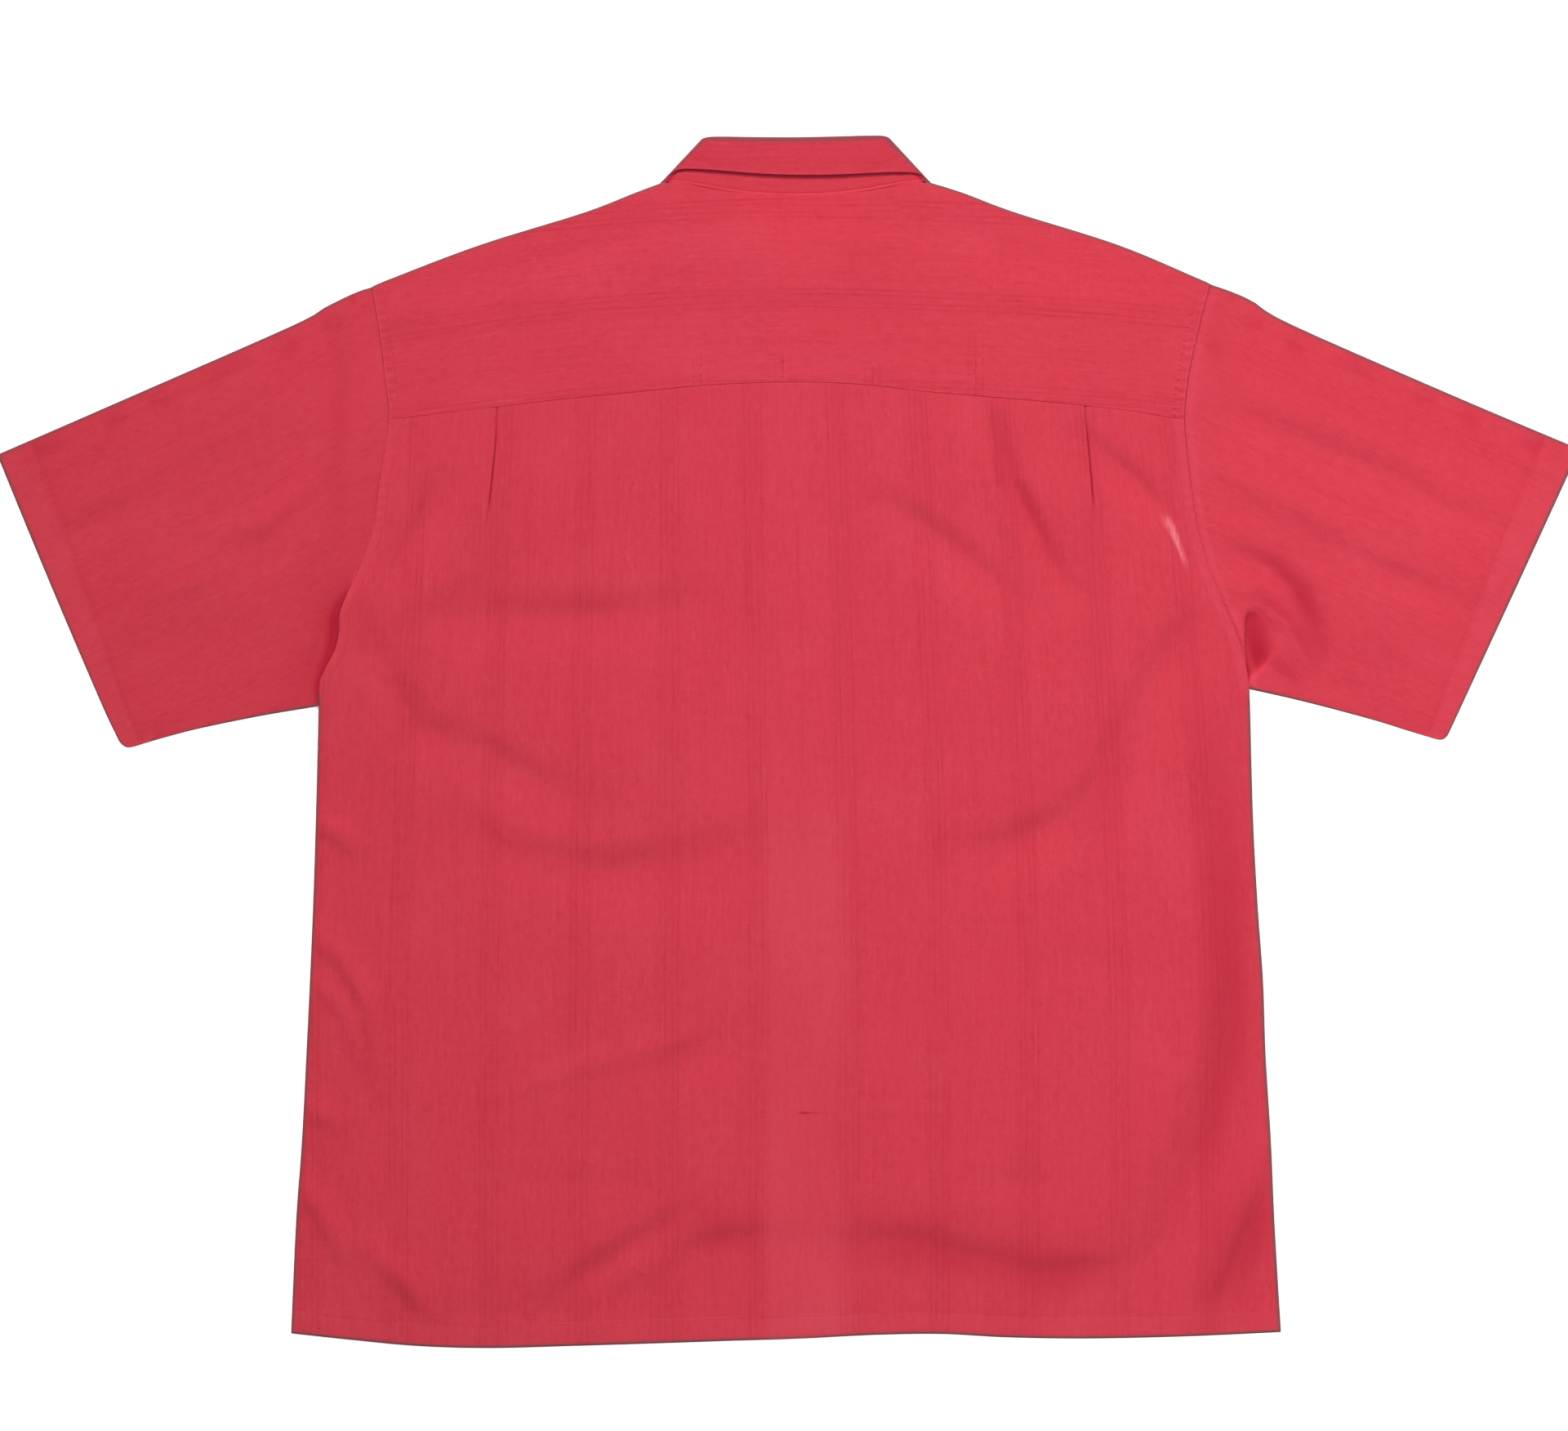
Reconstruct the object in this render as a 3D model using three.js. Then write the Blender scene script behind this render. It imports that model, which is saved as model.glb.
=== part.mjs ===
// Camp shirt laid flat, face down, so its back is up. Millimetres.
// +X is the wearer's right, +Y the collar end, +Z up from the surface it lies on.
// Every cut piece is a thin wall of cloth, worked out between its own named edges.
import * as THREE from "three";

// ---------- driving sizes ----------
const cloth = 1.0; // thickness of each cloth wall
const gap = 0.3; // clearance between neighbouring pieces
const layer = cloth + gap; // height of one cloth lying on another
const centre = 5; // x of the neck, the closure and the buttons
const lapPast = 15; // how far each front runs past the centre line
const yokeStrip = 35; // depth of the yoke's strip on the front
const pleat = { at: 203, intake: 13, length: 78, lean: 7 }; // distance from x 0, depth, visible length, lean outwards
const plateau = { beside: 0.8, low: 2.2, middle: 3.4 }; // how far the back stands off the fronts
const mostRise = 3.6; // the back and the sleeves never stand off further than this
const button = { radius: 5.75, thickness: 1.8, rim: 0.5, top: 268, pitch: 115, count: 5, sides: 14 };
const foldRadius = 0.5; // bend of a pressed edge
const colour = new THREE.Color("#c8404f");
const buttonColour = new THREE.Color("#8e2b36");

// ---------- outline tables ----------
// Side seam and armhole on both sides, from the hem up to the shoulder.
const bodyEdges = [
  { y: -405.6, left: -340.8, right: 337.4 },
  { y: -330, left: -337.5, right: 333.0 },
  { y: -275, left: -333.5, right: 330.6 },
  { y: -215, left: -330.4, right: 326.9 },
  { y: -165, left: -328.0, right: 325.2 },
  { y: -110, left: -325.7, right: 321.3 },
  { y: -50, left: -323.8, right: 318.2 },
  { y: 28, left: -321.8, right: 316.0 },
  { y: 50, left: -317.6, right: 313.9 },
  { y: 74, left: -309.8, right: 306.6 },
  { y: 98, left: -305.2, right: 296.2 },
  { y: 120, left: -293.6, right: 287.6 },
  { y: 147, left: -284.6, right: 280.3 },
  { y: 180, left: -280.0, right: 275.2 },
  { y: 220, left: -273.8, right: 271.3 },
  { y: 247, left: -276.2, right: 273.6 },
  { y: 270, left: -278.8, right: 278.0 },
  { y: 292, left: -282.1, right: 283.2 },
  { y: 311.3, left: -285.5, right: 288.4 },
  { y: 313.4, left: -286.0, right: 288.9 },
];
const hemLine = [
  { x: -340.8, y: -405.8 }, { x: -300, y: -410.2 }, { x: -255, y: -414.4 }, { x: -205, y: -415.8 },
  { x: -140, y: -414.2 }, { x: -60, y: -411.6 }, { x: 0, y: -409.4 }, { x: 60, y: -406.9 },
  { x: 105, y: -406.3 }, { x: 150, y: -408.6 }, { x: 205, y: -409.4 }, { x: 270, y: -408.0 },
  { x: 337.4, y: -404.9 },
];
const yokeSeam = [
  { x: -273.8, y: 220.2 }, { x: -240, y: 224.2 }, { x: -199, y: 228.9 }, { x: -155, y: 234.2 },
  { x: -110, y: 238.4 }, { x: -55, y: 243.8 }, { x: 0, y: 245.8 }, { x: 48, y: 244.4 },
  { x: 95, y: 239.2 }, { x: 150, y: 234.6 }, { x: 202, y: 229.9 }, { x: 240, y: 225.4 },
  { x: 271.3, y: 219.8 },
];
// Heights at which every piece that meets an armhole has a point on it, from the underarm up.
const armholeRows = [28, 50, 74, 98, 120, 147, 180, 220, 247, 270, 292];
// Upper edge of the yoke: up each shoulder fold, and round the neck between the two neck points.
const shoulderLeft = [
  { x: -285.5, y: 311.3 }, { x: -271.3, y: 317.4 }, { x: -211.4, y: 340.0 }, { x: -140, y: 362.2 },
  { x: -104, y: 376.0 }, { x: -87, y: 383.2 },
];
const neckSeam = [
  { x: -87, y: 383.2 }, { x: -77, y: 385.6 }, { x: -60, y: 381.0 }, { x: -33, y: 376.8 },
  { x: 5, y: 375.8 }, { x: 43, y: 376.8 }, { x: 70, y: 381.0 }, { x: 87, y: 385.6 }, { x: 97, y: 383.2 },
];
const shoulderRight = [
  { x: 97, y: 383.2 }, { x: 119, y: 376.0 }, { x: 155, y: 362.4 }, { x: 226, y: 340.0 },
  { x: 281, y: 317.0 }, { x: 288.9, y: 313.4 },
];
// Half of the front neckline, from the end of the yoke's strip to the closure, measured from the centre.
const frontNeck = [{ out: 84.9, y: 348.4 }, { out: 68.6, y: 324.6 }, { out: 38.4, y: 307.8 }, { out: 3, y: 302.8 }];

// Sleeves: fold along the top, cuff, and underarm seam, each from the body outwards or the top down.
const sleeves = {
  left: {
    top: [{ x: -286.3, y: 311.0 }, { x: -297, y: 307.4 }, { x: -317, y: 297.8 }, { x: -340, y: 285.0 },
      { x: -440, y: 241.0 }, { x: -542.4, y: 196.3 }],
    cuff: [{ x: -542.4, y: 196.3 }, { x: -509.4, y: 116.2 }, { x: -473, y: 30.6 }, { x: -461.4, y: 5.4 },
      { x: -454, y: -3.4 }],
    under: [{ x: -322.6, y: 24.2 }, { x: -362, y: 17.6 }, { x: -404, y: 9.0 }, { x: -430, y: 2.2 },
      { x: -454, y: -3.4 }],
  },
  right: {
    top: [{ x: 289.7, y: 313.0 }, { x: 304, y: 308.0 }, { x: 318, y: 301.6 }, { x: 345, y: 285.6 },
      { x: 450, y: 239.4 }, { x: 542.4, y: 200.2 }],
    cuff: [{ x: 542.4, y: 200.2 }, { x: 503.7, y: 116.2 }, { x: 463.9, y: 30.0 }, { x: 454, y: 8.6 },
      { x: 448, y: 1.2 }],
    under: [{ x: 316.8, y: 36.0 }, { x: 355, y: 27.2 }, { x: 400, y: 15.2 }, { x: 425, y: 7.4 },
      { x: 448, y: 1.2 }],
  },
};

// Left half of the collar, round the neck from the centre back to its front end. out is measured from the
// centre. seam: the stand's sewn edge; roll: where the collar turns over; fall: its free edge.
// turn: 0 on the back, 1 on the front, between them round the side of the neck.
const collarSections = [
  { turn: 0, seamOut: 0, seamY: 376.2, rollOut: 0, rollY: 415.2, fallOut: 0, fallY: 388.0 },
  { turn: 0, seamOut: 20, seamY: 376.4, rollOut: 18, rollY: 415.4, fallOut: 19, fallY: 388.4 },
  { turn: 0, seamOut: 38, seamY: 377.3, rollOut: 34, rollY: 415.7, fallOut: 37, fallY: 389.6 },
  { turn: 0, seamOut: 65, seamY: 381.5, rollOut: 50, rollY: 415.6, fallOut: 60, fallY: 392.0 },
  { turn: 0, seamOut: 81, seamY: 386.0, rollOut: 58, rollY: 413.8, fallOut: 77, fallY: 392.6 },
  { turn: 0.05, seamOut: 88, seamY: 384.8, rollOut: 63, rollY: 411.0, fallOut: 84, fallY: 389.4 },
  { turn: 0.28, seamOut: 88.2, seamY: 384.6, rollOut: 63.2, rollY: 410.8, fallOut: 84.4, fallY: 389.0 },
  { turn: 0.5, seamOut: 88.3, seamY: 384.4, rollOut: 63.3, rollY: 410.6, fallOut: 86, fallY: 387.2 },
  { turn: 0.72, seamOut: 88.2, seamY: 384.2, rollOut: 63.2, rollY: 410.4, fallOut: 90, fallY: 382.6 },
  { turn: 0.95, seamOut: 88, seamY: 383.9, rollOut: 63, rollY: 409.8, fallOut: 92, fallY: 380.2 },
  { turn: 1, seamOut: 87, seamY: 372, rollOut: 60, rollY: 399, fallOut: 99, fallY: 367 },
  { turn: 1, seamOut: 84, seamY: 350, rollOut: 51, rollY: 377, fallOut: 106, fallY: 346 },
  { turn: 1, seamOut: 68, seamY: 326, rollOut: 39, rollY: 351, fallOut: 106, fallY: 316 },
  { turn: 1, seamOut: 38, seamY: 309, rollOut: 22, rollY: 331, fallOut: 92, fallY: 285 },
  { turn: 1, seamOut: 3, seamY: 304, rollOut: 3, rollY: 316, fallOut: 66, fallY: 258 },
];

// Main folds of the upper cloth: a soft trough or ridge along three points. rise is its height, minus for
// a trough, and width is how far it spreads to each side.
const bodyFolds = [
  { x1: -228, y1: 90, x2: -150, y2: 92, x3: -70, y3: 96, width: 24, rise: -1.6 },
  { x1: -287, y1: 72, x2: -243, y2: 5, x3: -150, y3: -42, width: 24, rise: -1.4 },
  { x1: -215, y1: -62, x2: -116, y2: -92, x3: -33, y3: -66, width: 24, rise: -1.5 },
  { x1: -150, y1: -374, x2: -100, y2: -342, x3: -58, y3: -316, width: 24, rise: -1.6 },
  { x1: -88, y1: -362, x2: 20, y2: -344, x3: 140, y3: -364, width: 26, rise: -1.3 },
  { x1: 140, y1: -364, x2: 205, y2: -364, x3: 285, y3: -310, width: 26, rise: -1.4 },
  { x1: 285, y1: 76, x2: 240, y2: 8, x3: 200, y3: -80, width: 26, rise: -1.5 },
  { x1: 205, y1: -80, x2: 160, y2: -84, x3: 112, y3: -80, width: 24, rise: -1.1 },
  { x1: 148, y1: 206, x2: 165, y2: 159, x3: 188, y3: 108, width: 22, rise: -1.3 },
  { x1: 214, y1: 196, x2: 240, y2: 160, x3: 278, y3: 122, width: 22, rise: 0.9 },
  { x1: -198, y1: -250, x2: -104, y2: -218, x3: -37, y3: -196, width: 24, rise: 0.8 },
  { x1: -312, y1: -150, x2: -286, y2: -205, x3: -270, y3: -310, width: 24, rise: -1.0 },
  { x1: 300, y1: -10, x2: 296, y2: -150, x3: 306, y3: -285, width: 24, rise: 1.0 },
];
const sleeveFolds = [
  { x1: 316, y1: 140, x2: 350, y2: 116, x3: 380, y3: 52, width: 20, rise: -1.5 },
  { x1: 326, y1: 104, x2: 346, y2: 88, x3: 362, y3: 56, width: 16, rise: 1.0 },
  { x1: 330, y1: 226, x2: 400, y2: 190, x3: 470, y3: 150, width: 26, rise: -1.1 },
  { x1: -300, y1: 292, x2: -316, y2: 250, x3: -322, y3: 206, width: 24, rise: -1.0 },
  { x1: -330, y1: 60, x2: -380, y2: 84, x3: -440, y3: 76, width: 26, rise: -1.2 },
  { x1: -340, y1: 176, x2: -400, y2: 150, x3: -470, y3: 110, width: 30, rise: 0.8 },
];

// ---------- small helpers ----------
const mix = (a, b, t) => a + (b - a) * t;
const ease = (from, to, value) => {
  const t = Math.min(Math.max((value - from) / (to - from), 0), 1);
  return t * t * (3 - 2 * t);
};
const steps = (count) => Array.from({ length: count + 1 }, (_, i) => i / count);
const spline = (rows) => new THREE.SplineCurve(rows.map((row) => new THREE.Vector2(row.x, row.y)));
const joined = (...lists) => {
  const path = new THREE.CurvePath();
  lists.forEach((rows) => path.add(spline(rows)));
  return path;
};
const alongEdge = (curve) => (t) => curve.getPointAt(t);

// A point between four edges that meet at their corners (bottom and top run across, left and right run up).
function between(edges, u, v) {
  const bottom = edges.bottom(u);
  const top = edges.top(u);
  const left = edges.left(v);
  const right = edges.right(v);
  const blend = (key) => {
    const corners = mix(mix(edges.bottom(0)[key], edges.bottom(1)[key], u),
      mix(edges.top(0)[key], edges.top(1)[key], u), v);
    return mix(bottom[key], top[key], v) + mix(left[key], right[key], u) - corners;
  };
  return { x: blend("x"), y: blend("y") };
}

// Height that the folds add at a point.
function foldRise(folds, x, y) {
  const reach = (ax, ay, bx, by) => {
    const t = Math.min(Math.max(((x - ax) * (bx - ax) + (y - ay) * (by - ay)) / ((bx - ax) ** 2 + (by - ay) ** 2), 0), 1);
    return Math.hypot(x - mix(ax, bx, t), y - mix(ay, by, t));
  };
  return folds.reduce((sum, f) => {
    const distance = Math.min(reach(f.x1, f.y1, f.x2, f.y2), reach(f.x2, f.y2, f.x3, f.y3));
    return sum + f.rise * Math.exp(-((distance / f.width) ** 2));
  }, 0);
}

// A closed wall of cloth from two matching grids of points, its outer and its inner face. has says which
// cells of the grid are cloth, and ring joins the last column of points to the first.
function clothWall(outer, inner, { has = () => true, ring = false } = {}) {
  const rows = outer.length;
  const columns = outer[0].length;
  const cellColumns = ring ? columns : columns - 1;
  const cell = (i, j) => i >= 0 && i < rows - 1 && (ring || (j >= 0 && j < cellColumns))
    && has(i, (j + columns) % columns);
  const positions = [];
  const numbers = new Map();
  const vertex = (grid, i, j) => {
    const key = `${grid === outer ? "o" : "i"}${i},${j % columns}`;
    if (!numbers.has(key)) {
      numbers.set(key, positions.length / 3);
      positions.push(...grid[i][j % columns]);
    }
    return numbers.get(key);
  };
  const faces = [];
  const quad = (a, b, c, d) => faces.push(a, b, c, a, c, d);
  const rim = (i1, j1, i2, j2) => quad(vertex(outer, i2, j2), vertex(outer, i1, j1),
    vertex(inner, i1, j1), vertex(inner, i2, j2));
  for (let i = 0; i < rows - 1; i += 1) {
    for (let j = 0; j < cellColumns; j += 1) {
      if (!cell(i, j)) continue;
      quad(...[[i, j], [i + 1, j], [i + 1, j + 1], [i, j + 1]].map(([a, b]) => vertex(outer, a, b)));
      quad(...[[i, j], [i, j + 1], [i + 1, j + 1], [i + 1, j]].map(([a, b]) => vertex(inner, a, b)));
      if (!cell(i, j - 1)) rim(i, j, i + 1, j);
      if (!cell(i + 1, j)) rim(i + 1, j, i + 1, j + 1);
      if (!cell(i, j + 1)) rim(i + 1, j + 1, i, j + 1);
      if (!cell(i - 1, j)) rim(i, j + 1, i, j);
    }
  }
  if (volumeOf(positions, faces) < 0) faces.reverse();
  const geometry = new THREE.BufferGeometry();
  geometry.setAttribute("position", new THREE.Float32BufferAttribute(positions, 3));
  geometry.setIndex(faces);
  geometry.computeVertexNormals();
  return geometry;
}

function volumeOf(positions, faces) {
  const point = (n) => new THREE.Vector3(...positions.slice(3 * n, 3 * n + 3));
  let sum = 0;
  for (let n = 0; n < faces.length; n += 3) {
    sum += point(faces[n]).dot(point(faces[n + 1]).cross(point(faces[n + 2])));
  }
  return sum / 6;
}

function piece(name, geometry, tint = colour, roughness = 0.75) {
  const mesh = new THREE.Mesh(geometry, new THREE.MeshStandardMaterial({ color: tint, roughness, metalness: 0 }));
  mesh.name = name;
  return mesh;
}

// ---------- heights ----------
// The collar's front half lies under the fronts, and the buttons under the left front's edge.
const overCollar = (x, y) => layer * ease(138, 113, Math.abs(x - centre)) * ease(228, 250, y);
const overButtons = (x, y) => (button.thickness + gap) * ease(62, 20, Math.abs(x - centre)) * ease(345, 310, y);
const leftFrontHeight = (x, y) => Math.max(overCollar(x, y), overButtons(x, y));
const rightFrontHeight = (x, y) => {
  const lap = (button.thickness + gap + layer) * ease(64, 22, x - centre) * ease(345, 310, y);
  return Math.max(overCollar(x, y), lap);
};
const clearOfFronts = (x, y) => {
  const lap = (button.thickness + gap + layer) * ease(76, 28, Math.abs(x - centre)) * ease(350, 318, y);
  return layer + Math.max(overCollar(x, y), lap);
};

// Rise of the upper cloth along the armhole, nothing at the shoulder and at the underarm.
const armholeTop = { left: shoulderLeft[0].y, right: shoulderRight.at(-1).y };
const armholeFoot = 26;
const edgeRise = 0.9;
const armholeRise = (y) => {
  const down = Math.min(Math.max((armholeTop.left - y) / (armholeTop.left - armholeFoot), 0), 1);
  return edgeRise * Math.sin(Math.PI * down);
};

// Underside of the back panel and yoke. spread is how softly the cloth steps down at the pleat lines,
// and inside says on which side of a pleat's edge the point lies where the step is sharp.
function backHeight(x, y, fromEdge, spread, inside) {
  const edge = y > armholeFoot ? armholeRise(y) : 0;
  const low = mix(plateau.low, plateau.beside, ease(60, 150, y));
  const within = inside ?? ease(pleat.at + spread, pleat.at - spread, Math.abs(x));
  const flat = mix(low, plateau.middle, within);
  const risen = mix(edge, flat, ease(0, 62, fromEdge)) + foldRise(bodyFolds, x, y) * ease(0, 40, fromEdge);
  const kept = Math.min(Math.max(risen, 0), mostRise);
  return Math.max(layer + kept, clearOfFronts(x, y));
}

// ---------- edges ----------
const hem = spline(hemLine);
const backTop = spline(yokeSeam);
const shoulders = joined(shoulderLeft, neckSeam, shoulderRight);
function bodyEdge(side, fromY, toY) {
  const rows = bodyEdges.map((row) => ({ x: row[side], y: row.y }));
  const curve = spline(rows);
  const at = (y) => {
    let low = 0;
    let high = 1;
    for (let n = 0; n < 40; n += 1) {
      const middle = (low + high) / 2;
      if (curve.getPoint(middle).y < y) low = middle;
      else high = middle;
    }
    return curve.getPoint(low);
  };
  return (t) => at(mix(fromY, toY, t));
}

// The yoke's strip on the front, share of the way from the armhole to the neck, depth down from the fold.
// It leans with the armhole at one end and with the neckline at the other.
const stripCells = 10;
const neckLean = 3.4;
function stripPoint(side, share, depth) {
  const rows = side === "left" ? shoulderLeft : [...shoulderRight].reverse();
  const sign = side === "left" ? -1 : 1;
  const fold = spline(rows).getPointAt(share);
  const y = fold.y - depth;
  const armholeX = bodyEdge(side, rows[0].y - depth, rows[0].y)(0).x;
  const lean = mix(armholeX - rows[0].x, -sign * neckLean * (depth / yokeStrip), share);
  return { x: fold.x + lean, y };
}

// ---------- back panel ----------
// Across: side, pleat, middle, pleat, side. Each pleat has four columns: the fold's edge above, its edge
// below, the turn inside, and the cloth it lies on.
function makeBack() {
  const seamY = (x) => mix(229.4, 245, ease(pleat.at, 0, Math.abs(x)));
  const edges = {
    bottom: alongEdge(hem),
    top: (u) => backTop.getPointAt(u).clone().add(new THREE.Vector2(0, -gap)),
    left: bodyEdge("left", hemLine[0].y, yokeSeam[0].y - gap),
    right: bodyEdge("right", hemLine.at(-1).y, yokeSeam.at(-1).y - gap),
  };
  const foot = hemLine[0].y;
  const head = yokeSeam[0].y - gap;
  const rowsUp = [...steps(13).map((t) => mix(foot, armholeRows[0], t)).slice(0, -1),
    ...armholeRows.filter((y) => y < head - 5), 200, head].map((y) => (y - foot) / (head - foot));
  const sideCells = 6;
  const middleCells = 15;
  const outer = [];
  const inner = [];
  rowsUp.forEach((v) => {
    const row = { outer: [], inner: [] };
    const place = (x, y, under, over = under + cloth, innerX = x, outerX = x) => {
      row.outer.push([outerX, y, over]);
      row.inner.push([innerX, y, under]);
    };
    const at = (u) => between(edges, u, v);
    const width = at(1).x - at(0).x;
    const share = (x) => (x - at(0).x) / width;
    const line = (side) => side * (pleat.at + pleat.lean * (1 - v));
    const below = seamY(line(1)) - at(share(line(1))).y; // how far below the yoke this row lies
    const soft = Math.max(below - pleat.length, 0);
    const sharp = soft === 0;
    const spread = Math.max(Math.min(soft * 0.7, 70), 1);
    const height = (u, inside) => {
      const p = at(u);
      return { ...p, z: backHeight(p.x, p.y, Math.min(u, 1 - u) * width, spread, sharp ? inside : undefined) };
    };
    const plain = (from, to, cells, skipEnds, inside) => steps(cells)
      .filter((t) => t > (skipEnds.first ? 0 : -1) && t < (skipEnds.last ? 1 : 2))
      .forEach((t) => {
        const p = height(mix(from, to, t), inside);
        place(p.x, p.y, p.z);
      });
    const fold = (side) => {
      const edgeX = line(side);
      const p = height(share(edgeX), 1);
      const columns = [];
      if (sharp) {
        const depth = Math.max(pleat.intake * (1 - below / pleat.length), 0) + cloth + 0.5;
        const under = height(share(edgeX), 0).z;
        const top = under + 2 * layer;
        columns.push([edgeX, top + cloth, edgeX - side * cloth, top]);
        columns.push([edgeX, under + layer, edgeX - side * cloth, under + layer + cloth]);
        columns.push([edgeX - side * (depth - cloth), under + layer, edgeX - side * depth, under + layer + cloth]);
        columns.push([edgeX - side * (depth - cloth), under + cloth, edgeX - side * depth, under]);
      } else {
        [-1, -1 / 3, 1 / 3, 1].forEach((part) => {
          const x = edgeX + side * part * spread * 0.8;
          const q = height(share(x));
          columns.push([x, q.z + cloth, x, q.z]);
        });
      }
      const ordered = side > 0 ? columns : columns.reverse();
      ordered.forEach(([outerX, over, innerX, under]) => place(outerX, p.y, under, over, innerX, outerX));
    };
    const leftPleat = share(line(-1));
    const rightPleat = share(line(1));
    const clear = (spread + 14) / width;
    plain(0, leftPleat - clear, sideCells, {}, 0);
    fold(-1);
    plain(leftPleat + clear, rightPleat - clear, middleCells, {}, 1);
    fold(1);
    plain(rightPleat + clear, 1, sideCells, {}, 0);
    outer.push(row.outer);
    inner.push(row.inner);
  });
  return piece("back", clothWall(outer, inner));
}

// ---------- yoke ----------
// Up from the back seam, over the shoulder folds and down to its strip on the front. Between the neck
// points it ends at the neck seam.
function makeYoke() {
  const edges = {
    bottom: alongEdge(backTop),
    top: alongEdge(shoulders),
    left: bodyEdge("left", yokeSeam[0].y, armholeTop.left),
    right: bodyEdge("right", yokeSeam.at(-1).y, armholeTop.right),
  };
  const lengths = shoulders.getCurveLengths();
  const whole = lengths.at(-1);
  const neckCells = 10;
  const neckFrom = stripCells;
  const neckTo = neckFrom + neckCells;
  const across = [
    ...steps(stripCells).map((t) => t * lengths[0] / whole),
    ...steps(neckCells).slice(1, -1).map((t) => mix(lengths[0], lengths[1], t) / whole),
    ...steps(stripCells).map((t) => mix(lengths[1], whole, t) / whole),
  ];
  const foot = yokeSeam[0].y;
  const up = [foot, foot + 12, ...armholeRows.filter((y) => y > foot), armholeTop.left]
    .map((y) => (y - foot) / (armholeTop.left - foot));
  const outer = [];
  const inner = [];
  across.forEach((u, i) => {
    const inNeck = i > neckFrom && i < neckTo;
    const upper = up.map((v) => {
      const p = between(edges, u, v);
      const spread = mix(9, 60, v);
      const fromEdge = Math.min(u, 1 - u) * 560;
      const over = backHeight(p.x, p.y, fromEdge, spread);
      const z = Math.max(mix(over, layer, ease(0.5, 1, v)), layer + overCollar(p.x, p.y));
      return { x: p.x, y: p.y, z };
    });
    const edge = upper.at(-1);
    const neckGap = inNeck ? 0.4 : 0;
    const rowOuter = upper.map((p) => [p.x, p.y, p.z + cloth]);
    const rowInner = upper.map((p) => [p.x, p.y, p.z]);
    const low = overCollar(edge.x, edge.y);
    const middle = (low + cloth + edge.z) / 2;
    const drop = (depth) => edge.y - depth;
    rowOuter[up.length - 1] = [edge.x, drop(neckGap || foldRadius), edge.z + cloth];
    rowInner[up.length - 1] = [edge.x, drop(inNeck ? neckGap : cloth + foldRadius), edge.z];
    rowOuter.push([edge.x, edge.y, middle]);
    rowInner.push([edge.x, drop(cloth), middle]);
    const side = i <= neckFrom ? "left" : "right";
    const share = inNeck ? 1 : Math.min(i, across.length - 1 - i) / stripCells;
    [foldRadius, yokeStrip / 2, yokeStrip].forEach((depth, n) => {
      const p = stripPoint(side, share, depth);
      const z = overCollar(p.x, p.y);
      rowOuter.push([p.x, p.y, z]);
      rowInner.push([p.x, n === 0 ? drop(cloth + foldRadius) : p.y, z + cloth]);
    });
    outer.push(rowOuter);
    inner.push(rowInner);
  });
  const isCloth = (i, j) => j < up.length - 1 || i < neckFrom || i >= neckTo;
  return piece("yoke", clothWall(outer, inner, { has: isCloth }));
}

// ---------- fronts ----------
function makeFront(side) {
  const left = side === "left";
  const sign = left ? -1 : 1;
  const lapX = centre - sign * lapPast;
  const neckRows = frontNeck.map((row) => ({ x: centre + sign * row.out, y: row.y }));
  const neckFoot = neckRows.at(-1).y;
  const armholeY = armholeTop[side] - yokeStrip - gap;
  const edgeAt = bodyEdge(side, hemLine[0].y, armholeY);
  const neckline = spline(neckRows);
  const neckCells = 4;
  // The upper edge: under the yoke's strip, then round the neck, then straight to the lap.
  const topPoints = [
    ...steps(stripCells).map((t) => stripPoint(side, t, yokeStrip + gap)),
    ...steps(neckCells).slice(1).map((t) => neckline.getPointAt(t)),
    { x: mix(neckRows.at(-1).x, lapX, 0.5), y: neckFoot },
    { x: lapX, y: neckFoot },
  ];
  const topLengths = [0];
  topPoints.slice(1).forEach((p, n) => {
    topLengths.push(topLengths[n] + Math.hypot(p.x - topPoints[n].x, p.y - topPoints[n].y));
  });
  const across = topLengths.map((length) => length / topLengths.at(-1));
  const hemStart = left ? 0 : 1;
  const hemEnd = (lapX - hemLine[0].x) / (hemLine.at(-1).x - hemLine[0].x);
  const bottom = (t) => hem.getPointAt(mix(hemStart, hemEnd, t));
  const foot = bottom(1);
  const edges = {
    bottom,
    top: (t) => topPoints[across.indexOf(t)],
    left: edgeAt,
    right: (t) => ({ x: mix(foot.x, lapX, t), y: mix(foot.y, neckFoot, t) }),
  };
  const start = hemLine[0].y;
  const up = [...steps(5).slice(0, -1).map((t) => mix(start, armholeRows[0], t)),
    ...armholeRows.filter((y) => y < armholeY - 10), armholeY].map((y) => (y - start) / (armholeY - start));
  const height = left ? leftFrontHeight : rightFrontHeight;
  const faces = { outer: [], inner: [] };
  across.forEach((u) => {
    const column = up.map((v) => between(edges, u, v));
    faces.outer.push(column.map((p) => [p.x, p.y, height(p.x, p.y) + cloth]));
    faces.inner.push(column.map((p) => [p.x, p.y, height(p.x, p.y)]));
  });
  return piece(`front_${side}`, clothWall(faces.outer, faces.inner));
}

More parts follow.
